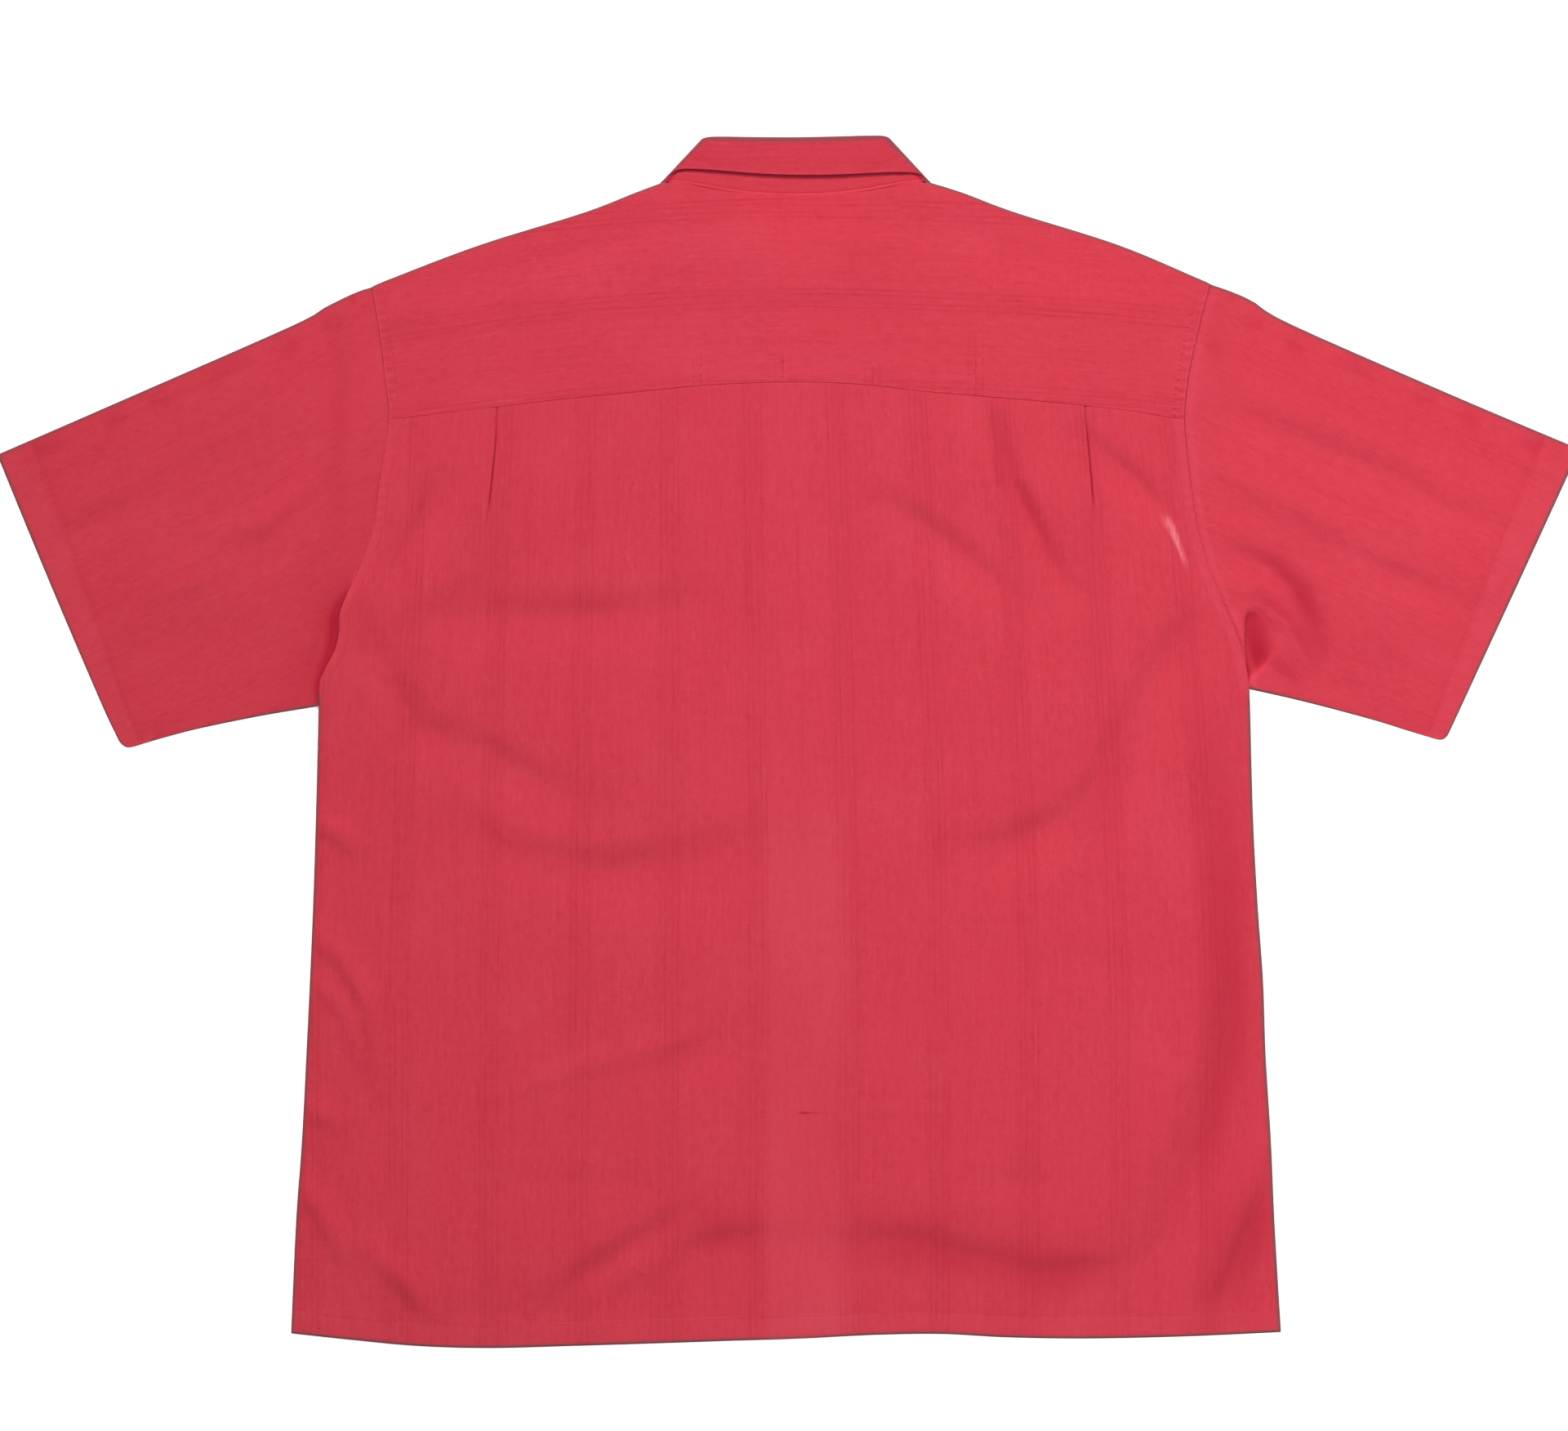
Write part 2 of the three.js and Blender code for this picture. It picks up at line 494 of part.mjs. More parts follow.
// ---------- sleeves ----------
// One cloth round: over the upper side, round the underarm seam, back under and up to the fold on top.
function makeSleeve(side) {
  const sign = side === "left" ? -1 : 1;
  const table = sleeves[side];
  const armhole = bodyEdge(side, table.top[0].y, table.under[0].y);
  const edges = {
    bottom: alongEdge(spline(table.top)),
    top: alongEdge(spline(table.under)),
    left: (t) => {
      const p = armhole(t);
      const ends = t === 0 ? table.top[0].x : t === 1 ? table.under[0].x : p.x + sign * (gap + 0.25);
      return { x: ends, y: p.y };
    },
    right: alongEdge(spline(table.cuff)),
  };
  const out = [0, 0.05, 0.12, 0.2, 0.3, 0.4, 0.5, 0.6, 0.7, 0.8, 0.9, 1];
  const [head, foot] = [table.top[0].y, table.under[0].y];
  const back = armholeRows.filter((y) => y > foot + 5).map((y) => (head - y) / (head - foot));
  const down = [...back].reverse();
  const outer = [];
  const inner = [];
  out.forEach((u) => {
    const first = between(edges, u, 0);
    const last = between(edges, u, 1);
    const reach = Math.hypot(last.x - first.x, last.y - first.y);
    const inset = (depth, fromLast) => {
      const t = (fromLast ? reach - depth : depth) / reach;
      return [mix(first.x, last.x, t), mix(first.y, last.y, t)];
    };
    const height = (v) => {
      const p = between(edges, u, v);
      const swell = mix(0.9, 2.3, ease(0, 0.35, u)) - 0.7 * ease(0.6, 1, u);
      const risen = swell * Math.sin(Math.PI * v) + foldRise(sleeveFolds, p.x, p.y) * ease(0, 0.12, Math.min(v, 1 - v));
      return { ...p, z: layer + Math.min(Math.max(risen, 0), mostRise) };
    };
    const middle = (cloth + layer) / 2;
    const deep = cloth + foldRadius;
    const rim = [[...inset(0, false), middle], [...inset(foldRadius, false), layer + cloth]];
    const rimInner = [[...inset(cloth, false), middle], [...inset(deep, false), layer]];
    const over = down.map(height);
    const turn = [[...inset(foldRadius, true), layer + cloth], [...inset(0, true), middle], [...inset(foldRadius, true), 0]];
    const turnInner = [[...inset(deep, true), layer], [...inset(cloth, true), middle], [...inset(deep, true), cloth]];
    const under = back.map((v) => between(edges, u, v));
    outer.push([...rim, ...over.map((p) => [p.x, p.y, p.z + cloth]), ...turn,
      ...under.map((p) => [p.x, p.y, 0]), [...inset(foldRadius, false), 0]]);
    inner.push([...rimInner, ...over.map((p) => [p.x, p.y, p.z]), ...turnInner,
      ...under.map((p) => [p.x, p.y, cloth]), [...inset(deep, false), cloth]]);
  });
  return piece(`sleeve_${side}`, clothWall(outer, inner, { ring: true }));
}

// ---------- collar ----------
// Each section runs from the stand's seam up to the roll and over to the fall's free edge. Round the side
// of the neck the section turns over, from lying on the back to lying under the front.
function makeCollar() {
  const foldZ = 2 * layer - gap / 2;
  const sections = [...collarSections].reverse().map((row) => ({ ...row, side: -1 }))
    .concat(collarSections.slice(1).map((row) => ({ ...row, side: 1 })));
  const outer = [];
  const inner = [];
  sections.forEach((row) => {
    const plan = (out, y) => new THREE.Vector3(centre + row.side * out, y, 0);
    const seam = plan(row.seamOut, row.seamY);
    const roll = plan(row.rollOut, row.rollY);
    const fall = plan(row.fallOut, row.fallY);
    const angle = Math.PI * row.turn;
    const up = roll.clone().sub(seam).normalize();
    const outward = new THREE.Vector3(row.side * Math.abs(up.y), Math.abs(up.x), 0);
    const away = outward.multiplyScalar(Math.sin(angle)).add(new THREE.Vector3(0, 0, Math.cos(angle)));
    const start = away.clone().multiplyScalar(gap / 2).add(new THREE.Vector3(0, 0, foldZ));
    const at = (base, back, depth) => base.clone().addScaledVector(up, -back).add(start)
      .addScaledVector(away, depth).toArray();
    const fallAt = (t, depth) => roll.clone().lerp(fall, t).add(start).addScaledVector(away, depth).toArray();
    const whole = 2 * cloth + gap;
    const deep = cloth + foldRadius;
    outer.push([at(seam, 0, 0), at(roll, foldRadius, 0), at(roll, 0, foldRadius), at(roll, 0, whole - foldRadius),
      at(roll, foldRadius, whole), fallAt(0.5, whole), fallAt(1, whole)]);
    inner.push([at(seam, 0, cloth), at(roll, deep, cloth), at(roll, cloth, cloth + 0.08),
      at(roll, cloth, layer - 0.08), at(roll, deep, layer), fallAt(0.5, layer), fallAt(1, layer)]);
  });
  return piece("collar", clothWall(outer, inner));
}

// ---------- buttons ----------
function makeButton(number) {
  const { radius, thickness, rim, top, pitch } = button;
  const profile = [[0, 0], [radius - rim, 0], [radius, rim], [radius, thickness - rim], [radius - rim, thickness],
    [0, thickness]];
  const turned = new THREE.LatheGeometry(profile.map(([x, y]) => new THREE.Vector2(x, y)), button.sides);
  turned.rotateX(Math.PI / 2);
  const mesh = piece(`button_${number}`, turned, buttonColour, 0.35);
  mesh.position.set(centre, top - (number - 1) * pitch, 0);
  return mesh;
}

// ---------- the shirt, its footprint centred on the origin ----------
const shirt = new THREE.Group();
shirt.name = "camp_shirt";
shirt.add(makeBack(), makeYoke(), makeFront("left"), makeFront("right"), makeSleeve("left"), makeSleeve("right"),
  makeCollar());
for (let number = 1; number <= button.count; number += 1) shirt.add(makeButton(number));
const box = new THREE.Box3().setFromObject(shirt);
shirt.position.set(-(box.min.x + box.max.x) / 2, -(box.min.y + box.max.y) / 2, -box.min.z);
shirt.updateMatrixWorld(true);

export default shirt;
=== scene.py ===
import math

import bmesh
import bpy
import numpy as np
from mathutils import Matrix, Vector
from mathutils.bvhtree import BVHTree


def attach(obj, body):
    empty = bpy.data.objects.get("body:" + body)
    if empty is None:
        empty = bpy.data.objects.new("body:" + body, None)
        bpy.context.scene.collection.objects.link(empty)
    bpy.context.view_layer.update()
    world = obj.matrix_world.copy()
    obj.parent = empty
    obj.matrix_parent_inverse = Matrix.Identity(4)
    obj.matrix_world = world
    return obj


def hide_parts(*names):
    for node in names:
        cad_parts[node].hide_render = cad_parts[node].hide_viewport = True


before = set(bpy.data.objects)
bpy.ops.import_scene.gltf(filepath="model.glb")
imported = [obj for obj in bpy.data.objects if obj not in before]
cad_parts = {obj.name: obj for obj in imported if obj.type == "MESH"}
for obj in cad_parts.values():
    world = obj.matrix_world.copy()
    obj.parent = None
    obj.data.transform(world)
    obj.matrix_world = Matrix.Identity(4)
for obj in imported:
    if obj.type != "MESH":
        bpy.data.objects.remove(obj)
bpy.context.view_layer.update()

mm = 0.001
print("frame loaded:", len(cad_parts), "nodes")

# Sizes are in millimetres. The shirt lies face down: +X is the wearer's right and +Y the collar end.
shirt = {
    "cloth": 0.5,          # thickness of the woven cloth
    "ply": 0.6,            # from one cloth to the next where they are pressed together
    "centre": 5.0,         # x of the neck, the closure and the buttons
    "lapPast": 15.0,       # each front runs past the centre line
    "yokeStrip": 35.0,     # depth of the yoke's strip on the front
    "underarmY": 26.0,     # foot of the armholes
    "hem": 15.0,           # turned up inside
    "sleeveHem": 25.0,
    "tuck": 4.0,           # seam allowance that lies under its neighbour
    "turnedIn": 0.45,      # from a cloth to its own turned-in edge
    "neckHalf": 84.0,      # from the centre to where the shoulders' folds begin
    "seamRow": 7.0,        # from the armhole to its row of stitches
}

# Side seam and armhole from the hem up to the shoulder: y, then x on the left and on the right.
bodyEdges = [
    (-405.6, -340.8, 337.4), (-330, -337.5, 333.0), (-275, -333.5, 330.6), (-215, -330.4, 326.9),
    (-165, -328.0, 325.2), (-110, -325.7, 321.3), (-50, -323.8, 318.2), (28, -321.8, 316.0),
    (40, -321.6, 315.0), (50, -317.4, 313.9), (62, -311.2, 310.6), (74, -308.2, 306.6),
    (86, -308.0, 301.6), (98, -303.8, 296.2), (120, -294.0, 287.6), (147, -284.6, 280.3),
    (180, -280.0, 275.2), (220, -273.8, 271.3), (247, -276.2, 273.6), (270, -278.8, 278.0),
    (292, -282.1, 283.2), (311.3, -285.5, 288.4), (313.4, -286.0, 288.9),
]
hemRows = [
    (-340.8, -405.8), (-300, -410.2), (-255, -414.4), (-205, -415.8), (-140, -414.2), (-60, -411.6),
    (0, -409.4), (60, -406.9), (105, -406.3), (150, -408.6), (205, -409.4), (270, -408.0), (337.4, -404.9),
]
yokeRows = [
    (-273.8, 220.2), (-240, 224.2), (-199, 228.9), (-155, 234.2), (-110, 238.4), (-55, 243.8), (0, 245.8),
    (48, 244.4), (95, 239.2), (150, 234.6), (202, 229.9), (240, 225.4), (271.3, 219.8),
]
shoulderRows = {
    "left": [(-285.5, 311.3), (-271.3, 317.4), (-211.4, 340.0), (-140, 362.2), (-104, 376.1), (-84, 383.5)],
    "right": [(288.9, 313.4), (281, 317.0), (226, 340.0), (155, 362.4), (119, 375.8), (94, 383.5)],
}
neckRows = [(-84, 383.5), (-76, 385.0), (-60, 381.0), (-33, 376.8), (5, 375.8), (43, 376.8), (70, 381.0),
            (86, 385.0), (94, 383.5)]
frontNeckRows = [(84.9, 348.4), (68.6, 324.6), (38.4, 307.8), (3, 302.8)]   # out from the centre line, y
sleeveRows = {
    "left": {
        "top": [(-285.6, 311.1), (-297, 307.4), (-317, 297.8), (-340, 285.0), (-440, 241.0), (-542.4, 196.3)],
        "cuff": [(-542.4, 196.3), (-509.4, 116.2), (-473.0, 30.6), (-461.4, 5.4), (-458.2, -0.6),
                 (-453.6, -4.0), (-448.5, -3.4)],
        "under": [(-322.6, 24.2), (-362, 17.6), (-404, 9.0), (-430, 2.2), (-448.5, -3.4)],
    },
    "right": {
        "top": [(288.9, 313.2), (304, 308.0), (318, 301.6), (345, 285.6), (450, 239.4), (542.4, 200.2)],
        "cuff": [(542.4, 200.2), (503.7, 116.2), (463.9, 30.0), (454.0, 8.6), (451.4, 3.6), (448.0, 1.2),
                 (443.6, 1.8)],
        "under": [(316.8, 36.0), (355, 27.2), (400, 15.2), (425, 7.4), (443.6, 1.8)],
    },
}
signs = {"left": -1, "right": 1}
rowEnd = {"left": 0, "right": -1}                # the end of a table's row of points that lies on that side


def ease(low, high, value):   # smooth step, 0 at low and 1 at high
    t = np.clip((value - low) / (high - low), 0, 1)
    return t * t * (3 - 2 * t)


def mix(a, b, t):
    return a + (b - a) * t


def smoothMax(a, b, soft):   # the larger of two heights, rounded where they meet
    return (a + b + np.sqrt((a - b) ** 2 + soft ** 2)) / 2


def hump(distance, reach):   # 1 at no distance, fading out with it
    return np.exp(-(distance / reach) ** 2)


def waves(run, pitch, sway, bend):   # uneven waves along a seam, from -1 to 1
    return np.sin(run * math.tau / pitch + sway * np.sin(run / bend))


def measured(line):   # a line with the share of its length at each point
    run = np.concatenate([[0], np.cumsum(np.hypot(*np.diff(line, axis=0).T))])
    return {"line": line, "share": run / run[-1], "length": run[-1]}


def smoothLine(rows, cells=60):   # smooth line through the points of a table
    points = np.array(rows, float)
    padded = np.vstack([points[:1], points, points[-1:]])
    t = np.linspace(0, len(points) - 1, cells * (len(points) - 1) + 1)
    k = np.minimum(t.astype(int), len(points) - 2)
    f = (t - k)[:, None]
    a, b, c, d = (padded[k + n] for n in range(4))
    bend, twist = 2 * a - 5 * b + 4 * c - d, 3 * b - a - 3 * c + d
    return 0.5 * (2 * b + (c - a) * f + bend * f ** 2 + twist * f ** 3)


def along(edge, share):   # points at shares of a measured line's length
    return np.stack([np.interp(share, edge["share"], edge["line"][:, n]) for n in (0, 1)], axis=-1)


def between(bottom, top, left, right, u, v):   # grid of points between four edges
    ends = np.array([0.0, 1.0])
    u1, v1 = u[None, :, None], v[:, None, None]
    (b0, b1), (t0, t1) = bottom(ends), top(ends)
    corners = mix(mix(b0, b1, u1), mix(t0, t1, u1), v1)
    spots = mix(bottom(u)[None], top(u)[None], v1) + mix(left(v)[:, None], right(v)[:, None], u1) - corners
    return spots[..., 0], spots[..., 1]


sideLines = {side: smoothLine([(row[n], row[0]) for row in bodyEdges]) for n, side in enumerate(signs, 1)}
hemLine = smoothLine(hemRows)
yokeLine = smoothLine(yokeRows)
shoulderLines = {side: measured(smoothLine(rows)) for side, rows in shoulderRows.items()}
neckLine = measured(smoothLine(neckRows))


def bodyX(side, y):
    return np.interp(y, sideLines[side][:, 1], sideLines[side][:, 0])


def bodySide(side, fromY, toY):   # the body's edge between two heights, as a line of shares
    return lambda share: np.stack([bodyX(side, mix(fromY, toY, share)), mix(fromY, toY, share)], axis=-1)


def hemY(x):
    return np.interp(x, hemLine[:, 0], hemLine[:, 1])


def yokeY(x):
    return np.interp(x, yokeLine[:, 0], yokeLine[:, 1])


def spread(count, finer=()):   # shares from 0 to 1, closer together near the given ones
    shares = np.linspace(0, 1, 6001)
    density = np.ones_like(shares)
    for where, reach, more in finer:
        density += more * np.exp(-((shares - where) / reach) ** 2)
    run = np.concatenate([[0], np.cumsum((density[1:] + density[:-1]) / 2)])
    return np.interp(np.linspace(0, 1, count + 1), run / run[-1], shares)


window = np.array([-0.17, 0.985])                # direction of the light across the surface
foldShape = {
    "shift": 0.55,         # from a trough's path, where it is darkest, to its middle, as a share of its width
    "gentle": 1.9,         # reach on the side towards the window, as a share of the width
    "steep": 0.68,         # and on the other side
    "ends": 0.35,          # share of the rise that is left at both ends
}


def creases(table, x, y, withLight=False):   # height that troughs and ridges add
    total = 0.0 * x
    for path, width, rise in table:
        lengths = [math.dist(a, b) for a, b in zip(path, path[1:])]
        shift = foldShape["shift"] * width * (rise < 0)
        px, py = x + window[0] * shift, y + window[1] * shift
        nearest, run = np.full_like(px, 1e9), 0.0
        side, share, lit = np.zeros_like(px), np.zeros_like(px), np.zeros_like(px)
        for (ax, ay), (bx, by), length in zip(path, path[1:], lengths):
            t = np.clip(((px - ax) * (bx - ax) + (py - ay) * (by - ay)) / length ** 2, 0, 1)
            dx, dy = px - mix(ax, bx, t), py - mix(ay, by, t)
            away = np.hypot(dx, dy)
            closer = away < nearest
            nearest = np.where(closer, away, nearest)
            side = np.where(closer, (dx * window[0] + dy * window[1]) / np.maximum(away, 1e-6), side)
            share = np.where(closer, (run + t * length) / sum(lengths), share)
            lit = np.where(closer, abs((bx - ax) * window[0] + (by - ay) * window[1]) / length, lit)
            run += length
        reach = width * mix(foldShape["gentle"], foldShape["steep"], ease(-0.8, 0.5, -side * np.sign(rise)))
        height = rise * mix(foldShape["ends"], 1, np.sin(math.pi * share)) * hump(nearest, reach)
        if withLight:   # only the troughs that run along the light
            height = np.minimum(height, 0) * lit ** 3
        total += height
    return total


def softNoise(x, y, size, seed):   # smooth hills of about the given size, from -1 to 1
    rng = np.random.default_rng(seed)
    total = np.zeros_like(x)
    for n in range(9):
        turn = rng.uniform(0, math.tau)
        wave = math.tau / (size * rng.uniform(0.8, 1.9))
        total += np.sin((x * math.cos(turn) + y * math.sin(turn)) * wave + rng.uniform(0, math.tau))
    return total / 4.5


def shapeToObject(name, shape):   # ends a shape as an object of the scene
    mesh = bpy.data.meshes.new(name)
    shape.to_mesh(mesh)
    shape.free()
    obj = bpy.data.objects.new(name, mesh)
    bpy.context.scene.collection.objects.link(obj)
    return obj


# A grid of cloth from arrays of its points, their places along the weave and two marks of colour: seam is 1
# where sewn edges are paler, partly painted light, and -1 where shade is painted into seams, folds and
# hollows; the last mark is painted shade, 1 at the outermost folds.
def makeCloth(name, x, y, z, clothX, clothY, seam, edgeShade, gone=None):
    rows, columns = x.shape
    grid = bmesh.new()
    bmesh.ops.create_grid(grid, x_segments=columns - 1, y_segments=rows - 1, size=0.5)
    grid.verts.index_update()
    flat = np.array([vert.co[:2] for vert in grid.verts])
    column = np.rint((flat[:, 0] + 0.5) * (columns - 1)).astype(int)
    row = np.rint((flat[:, 1] + 0.5) * (rows - 1)).astype(int)
    cloth = grid.loops.layers.uv.new("cloth")
    seamLayer = grid.verts.layers.float.new("seam")
    edgeShadeLayer = grid.verts.layers.float.new("edgeShade")
    for vert, r, c in zip(grid.verts, row, column):
        vert.co = (x[r, c] * mm, y[r, c] * mm, z[r, c] * mm)
        vert[seamLayer] = seam[r, c]
        vert[edgeShadeLayer] = edgeShade[r, c]
    for face in grid.faces:
        face.smooth = True
        for loop in face.loops:
            r, c = row[loop.vert.index], column[loop.vert.index]
            loop[cloth].uv = (clothX[r, c] * mm, clothY[r, c] * mm)
    if gone is not None:
        corners = {face: [vert.index for vert in face.verts] for face in grid.faces}
        holes = [face for face, around in corners.items() if gone(row[around], column[around])]
        bmesh.ops.delete(grid, geom=holes, context="FACES")
    bmesh.ops.remove_doubles(grid, verts=grid.verts, dist=1e-6)
    return shapeToObject(name, grid)


def finishCloth(obj, node, material, thickness=shirt["cloth"]):
    solid = obj.modifiers.new("thickness", "SOLIDIFY")
    solid.thickness = thickness * mm
    solid.offset = 0
    obj.data.materials.append(material)
    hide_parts(node)
    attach(obj, "root")


def fromHex(text):   # sRGB hex to linear
    parts = [int(text[n:n + 2], 16) / 255 for n in (1, 3, 5)]
    return [part / 12.92 if part <= 0.04045 else ((part + 0.055) / 1.055) ** 2.4 for part in parts] + [1.0]


def addNode(tree, kind, links=None, **settings):  # links: input name or number to a socket or a value
    node = tree.nodes.new("ShaderNode" + kind)
    for key, value in settings.items():
        setattr(node, key, value)
    for key, value in (links or {}).items():
        value = getattr(value, "socket", value)
        if isinstance(value, bpy.types.NodeSocket):
            tree.links.new(value, node.inputs[key])
        else:
            node.inputs[key].default_value = value
    return node


class Reading:   # a number that a material works out, so that its sums read as sums
    def __init__(self, tree, socket):
        self.tree, self.socket = tree, socket

    def maths(self, operation, *others):
        links = dict(enumerate((self, *others, 0.0, 0.0)[:3]))
        return Reading(self.tree, addNode(self.tree, "Math", links, operation=operation).outputs[0])

    def __add__(self, other):
        return self.maths("ADD", other)

    def __sub__(self, other):
        return self.maths("SUBTRACT", other)

    def __mul__(self, other):
        return self.maths("MULTIPLY", other)

    def __truediv__(self, other):
        return self.maths("DIVIDE", other)

    def __abs__(self):
        return self.maths("ABSOLUTE")

    def ramp(self, low, high, toLow=0.0, toHigh=1.0):   # toLow at low and toHigh at high, eased between
        links = {"Value": self, "From Min": low, "From Max": high, "To Min": toLow, "To Max": toHigh}
        node = addNode(self.tree, "MapRange", links, interpolation_type="SMOOTHSTEP")
        return Reading(self.tree, node.outputs["Result"])


def newMaterial(name):
    material = bpy.data.materials.new(name)
    material.use_nodes = True
    material.node_tree.nodes.clear()
    return material, material.node_tree


dobby = {
    "ground": "#cc3a4a", "line": "#a4152c", "pale": "#dd5768",
    "paintedShade": "#ab1631",           # painted shade inside seams and folds
    "shadedEdge": "#7f4a4e",            # painted shade, greyed, along the outermost edges
    "pitch": 61.8,                  # from one group of stripes to the next
    "lines": (2.5, 6.1),            # each line's distance from the middle of its group
    "lineWidth": 1.1,
    "slub": 1.5, "slubLength": 46.0,  # width and length of the thick places in the yarn
    "thread": 0.85,                 # the real threads are 0.5 apart, drawn coarser so that the weave shows
}


def stripedCloth(name, start, stripes, marks=None, deeper=0.0, slubs=1.0):
    # Viscose and linen, yarn-dyed, woven on a dobby loom: a matt, slightly lustrous ground with groups of
    # four tone-on-tone lines along the warp every 61.8 mm, and slubs 1.5 mm wide and 46 mm long that give
    # short pale and dark streaks. IOR 1.5, rough 0.8. The weave is drawn coarser than the real 0.5 mm.
    material, tree = newMaterial(name)

    def noise(across, length, layer, detail=2.0, rough=0.5):   # sizes in mm, across and along the warp
        place = addNode(tree, "CombineXYZ", {"X": acrossWarp / across, "Y": alongWarp / length, "Z": layer})
        node = addNode(tree, "TexNoise", {"Vector": place.outputs[0], "Scale": 1.0, "Detail": detail,
                                          "Roughness": rough})
        return Reading(tree, node.outputs["Fac"])

    def blend(a, b, factor):
        return addNode(tree, "Mix", {0: factor, 6: a, 7: b}, data_type="RGBA").outputs[2]

    cloth = addNode(tree, "UVMap", uv_map="cloth")
    parts = addNode(tree, "SeparateXYZ", {0: cloth.outputs[0]})
    acrossWarp, alongWarp = (Reading(tree, parts.outputs[axis]) * 1000.0 for axis in ("X", "Y"))   # mm
    wander = (noise(40.0, 90.0, 1.0) - 0.5) * 2.4

    inGroup = (acrossWarp - start + wander).maths("WRAP", dobby["pitch"] / 2, -dobby["pitch"] / 2)
    fromMiddle = abs(inGroup)
    inner, outer = (abs(fromMiddle - place) for place in dobby["lines"])
    line = inner.maths("MINIMUM", outer).ramp(dobby["lineWidth"] * 0.8, dobby["lineWidth"] * 0.25)
    stripe = line * noise(2.4, 60.0, 4.0, 3.0, 0.6).ramp(0.36, 0.64, 0.15, 1.0)

    slub = noise(dobby["slub"], dobby["slubLength"], 2.0, 3.0, 0.6)
    broad = noise(dobby["slub"] * 5, dobby["slubLength"] * 2.5, 9.0, 2.0, 0.5)
    weft = noise(38.0, 1.3, 7.0, 3.0, 0.6)
    fleck = noise(0.9, 1.5, 3.0, 2.0, 0.7)
    cloud = noise(60.0, 80.0, 6.0, 3.0, 0.5)
    mottle = noise(3.2, 8.0, 13.0, 4.0, 0.65)

    dark, pale = fromHex(dobby["line"]), fromHex(dobby["pale"])
    colour = fromHex(dobby["ground"])
    weave = [(dark, slub, 0.47, 0.25, 0.12 * slubs), (pale, slub, 0.53, 0.74, 0.15 * slubs),
             (dark, broad, 0.5, 0.3, 0.07), (dark, mottle, 0.5, 0.28, 0.19), (pale, mottle, 0.52, 0.74, 0.18),
             (pale, weft, 0.54, 0.74, 0.1 * slubs), (pale, cloud, 0.45, 0.75, 0.1),
             (dark, fleck, 0.52, 0.22, 0.26), (dark, fromMiddle, 11.0, 6.0, 0.05 * slubs)]
    for tint, source, none, full, strength in weave:
        colour = blend(colour, tint, source.ramp(none, full, 0.0, strength))
    colour = blend(colour, dark, stripe * stripes)
    seam, edgeShade = (Reading(tree, addNode(tree, "Attribute", attribute_name=key).outputs["Fac"])
                 for key in ("seam", "edgeShade"))
    # Paler where seam is above 0, partly painted light; painted shade where it is below 0 and along the
    # outermost edges.
    paintedShading = [(pale, seam, 1.0, 0.3), (fromHex(dobby["paintedShade"]), seam, -1.0, 0.9),
            (fromHex(dobby["shadedEdge"]), edgeShade, 1.0, 0.9)]
    for tint, source, full, strength in paintedShading:
        colour = blend(colour, tint, source.ramp(0.0, full, 0.0, strength))
    if deeper:
        colour = blend(colour, dark, deeper)
    if marks:
        colour = marks(blend, noise, acrossWarp, alongWarp, colour)

    warpThread, weftThread = ((run * (math.tau / dobby["thread"])).maths("SINE")
                              for run in (acrossWarp, alongWarp))
    height = warpThread * weftThread * 0.025
    for source, amount in ((slub, 0.10), (weft, 0.06), (fleck, 0.12), (stripe, -0.06)):
        height = height + source * amount
    bump = addNode(tree, "Bump", {"Height": height, "Strength": 0.4, "Distance": 0.001})
    shader = addNode(tree, "BsdfPrincipled", {
        "Base Color": colour, "Normal": bump.outputs[0],
        "Roughness": 0.8, "IOR": 1.5, "Specular IOR Level": 0.12,
        "Sheen Weight": 0.03, "Sheen Roughness": 0.4, "Sheen Tint": fromHex("#f0a0a8"),
        "Subsurface Weight": 0.15, "Subsurface Radius": (1.0, 0.22, 0.2), "Subsurface Scale": 0.0012})
    addNode(tree, "OutputMaterial", {"Surface": shader.outputs[0]})
    return material


def plainMaterial(name, looks, clouds=None, tints=()):   # clouds: noise that mixes the two tints
    material, tree = newMaterial(name)
    if clouds:
        place = addNode(tree, "TexCoord").outputs["Object"]
        noise = addNode(tree, "TexNoise", {"Vector": place, **clouds}).outputs["Fac"]
        first, second = (fromHex(tint) for tint in tints)
        mixed = addNode(tree, "Mix", {0: noise, 6: first, 7: second}, data_type="RGBA")
        looks = {**looks, "Base Color": mixed.outputs[2]}
    shader = addNode(tree, "BsdfPrincipled", looks)
    addNode(tree, "OutputMaterial", {"Surface": shader.outputs[0]})
    return material


stain = {"from": (280, 161.5), "to": (292.5, 125), "width": 5.6, "bend": 1.2, "colour": "#f08a92"}
snag = {"at": (10.5, -258), "size": (4.2, 1.1), "tailTo": 30}
paleBand = {"from": -12, "to": 42, "soft": 10}
darkBand = {"from": 282, "soft": 6, "to": 322, "strength": 0.08}


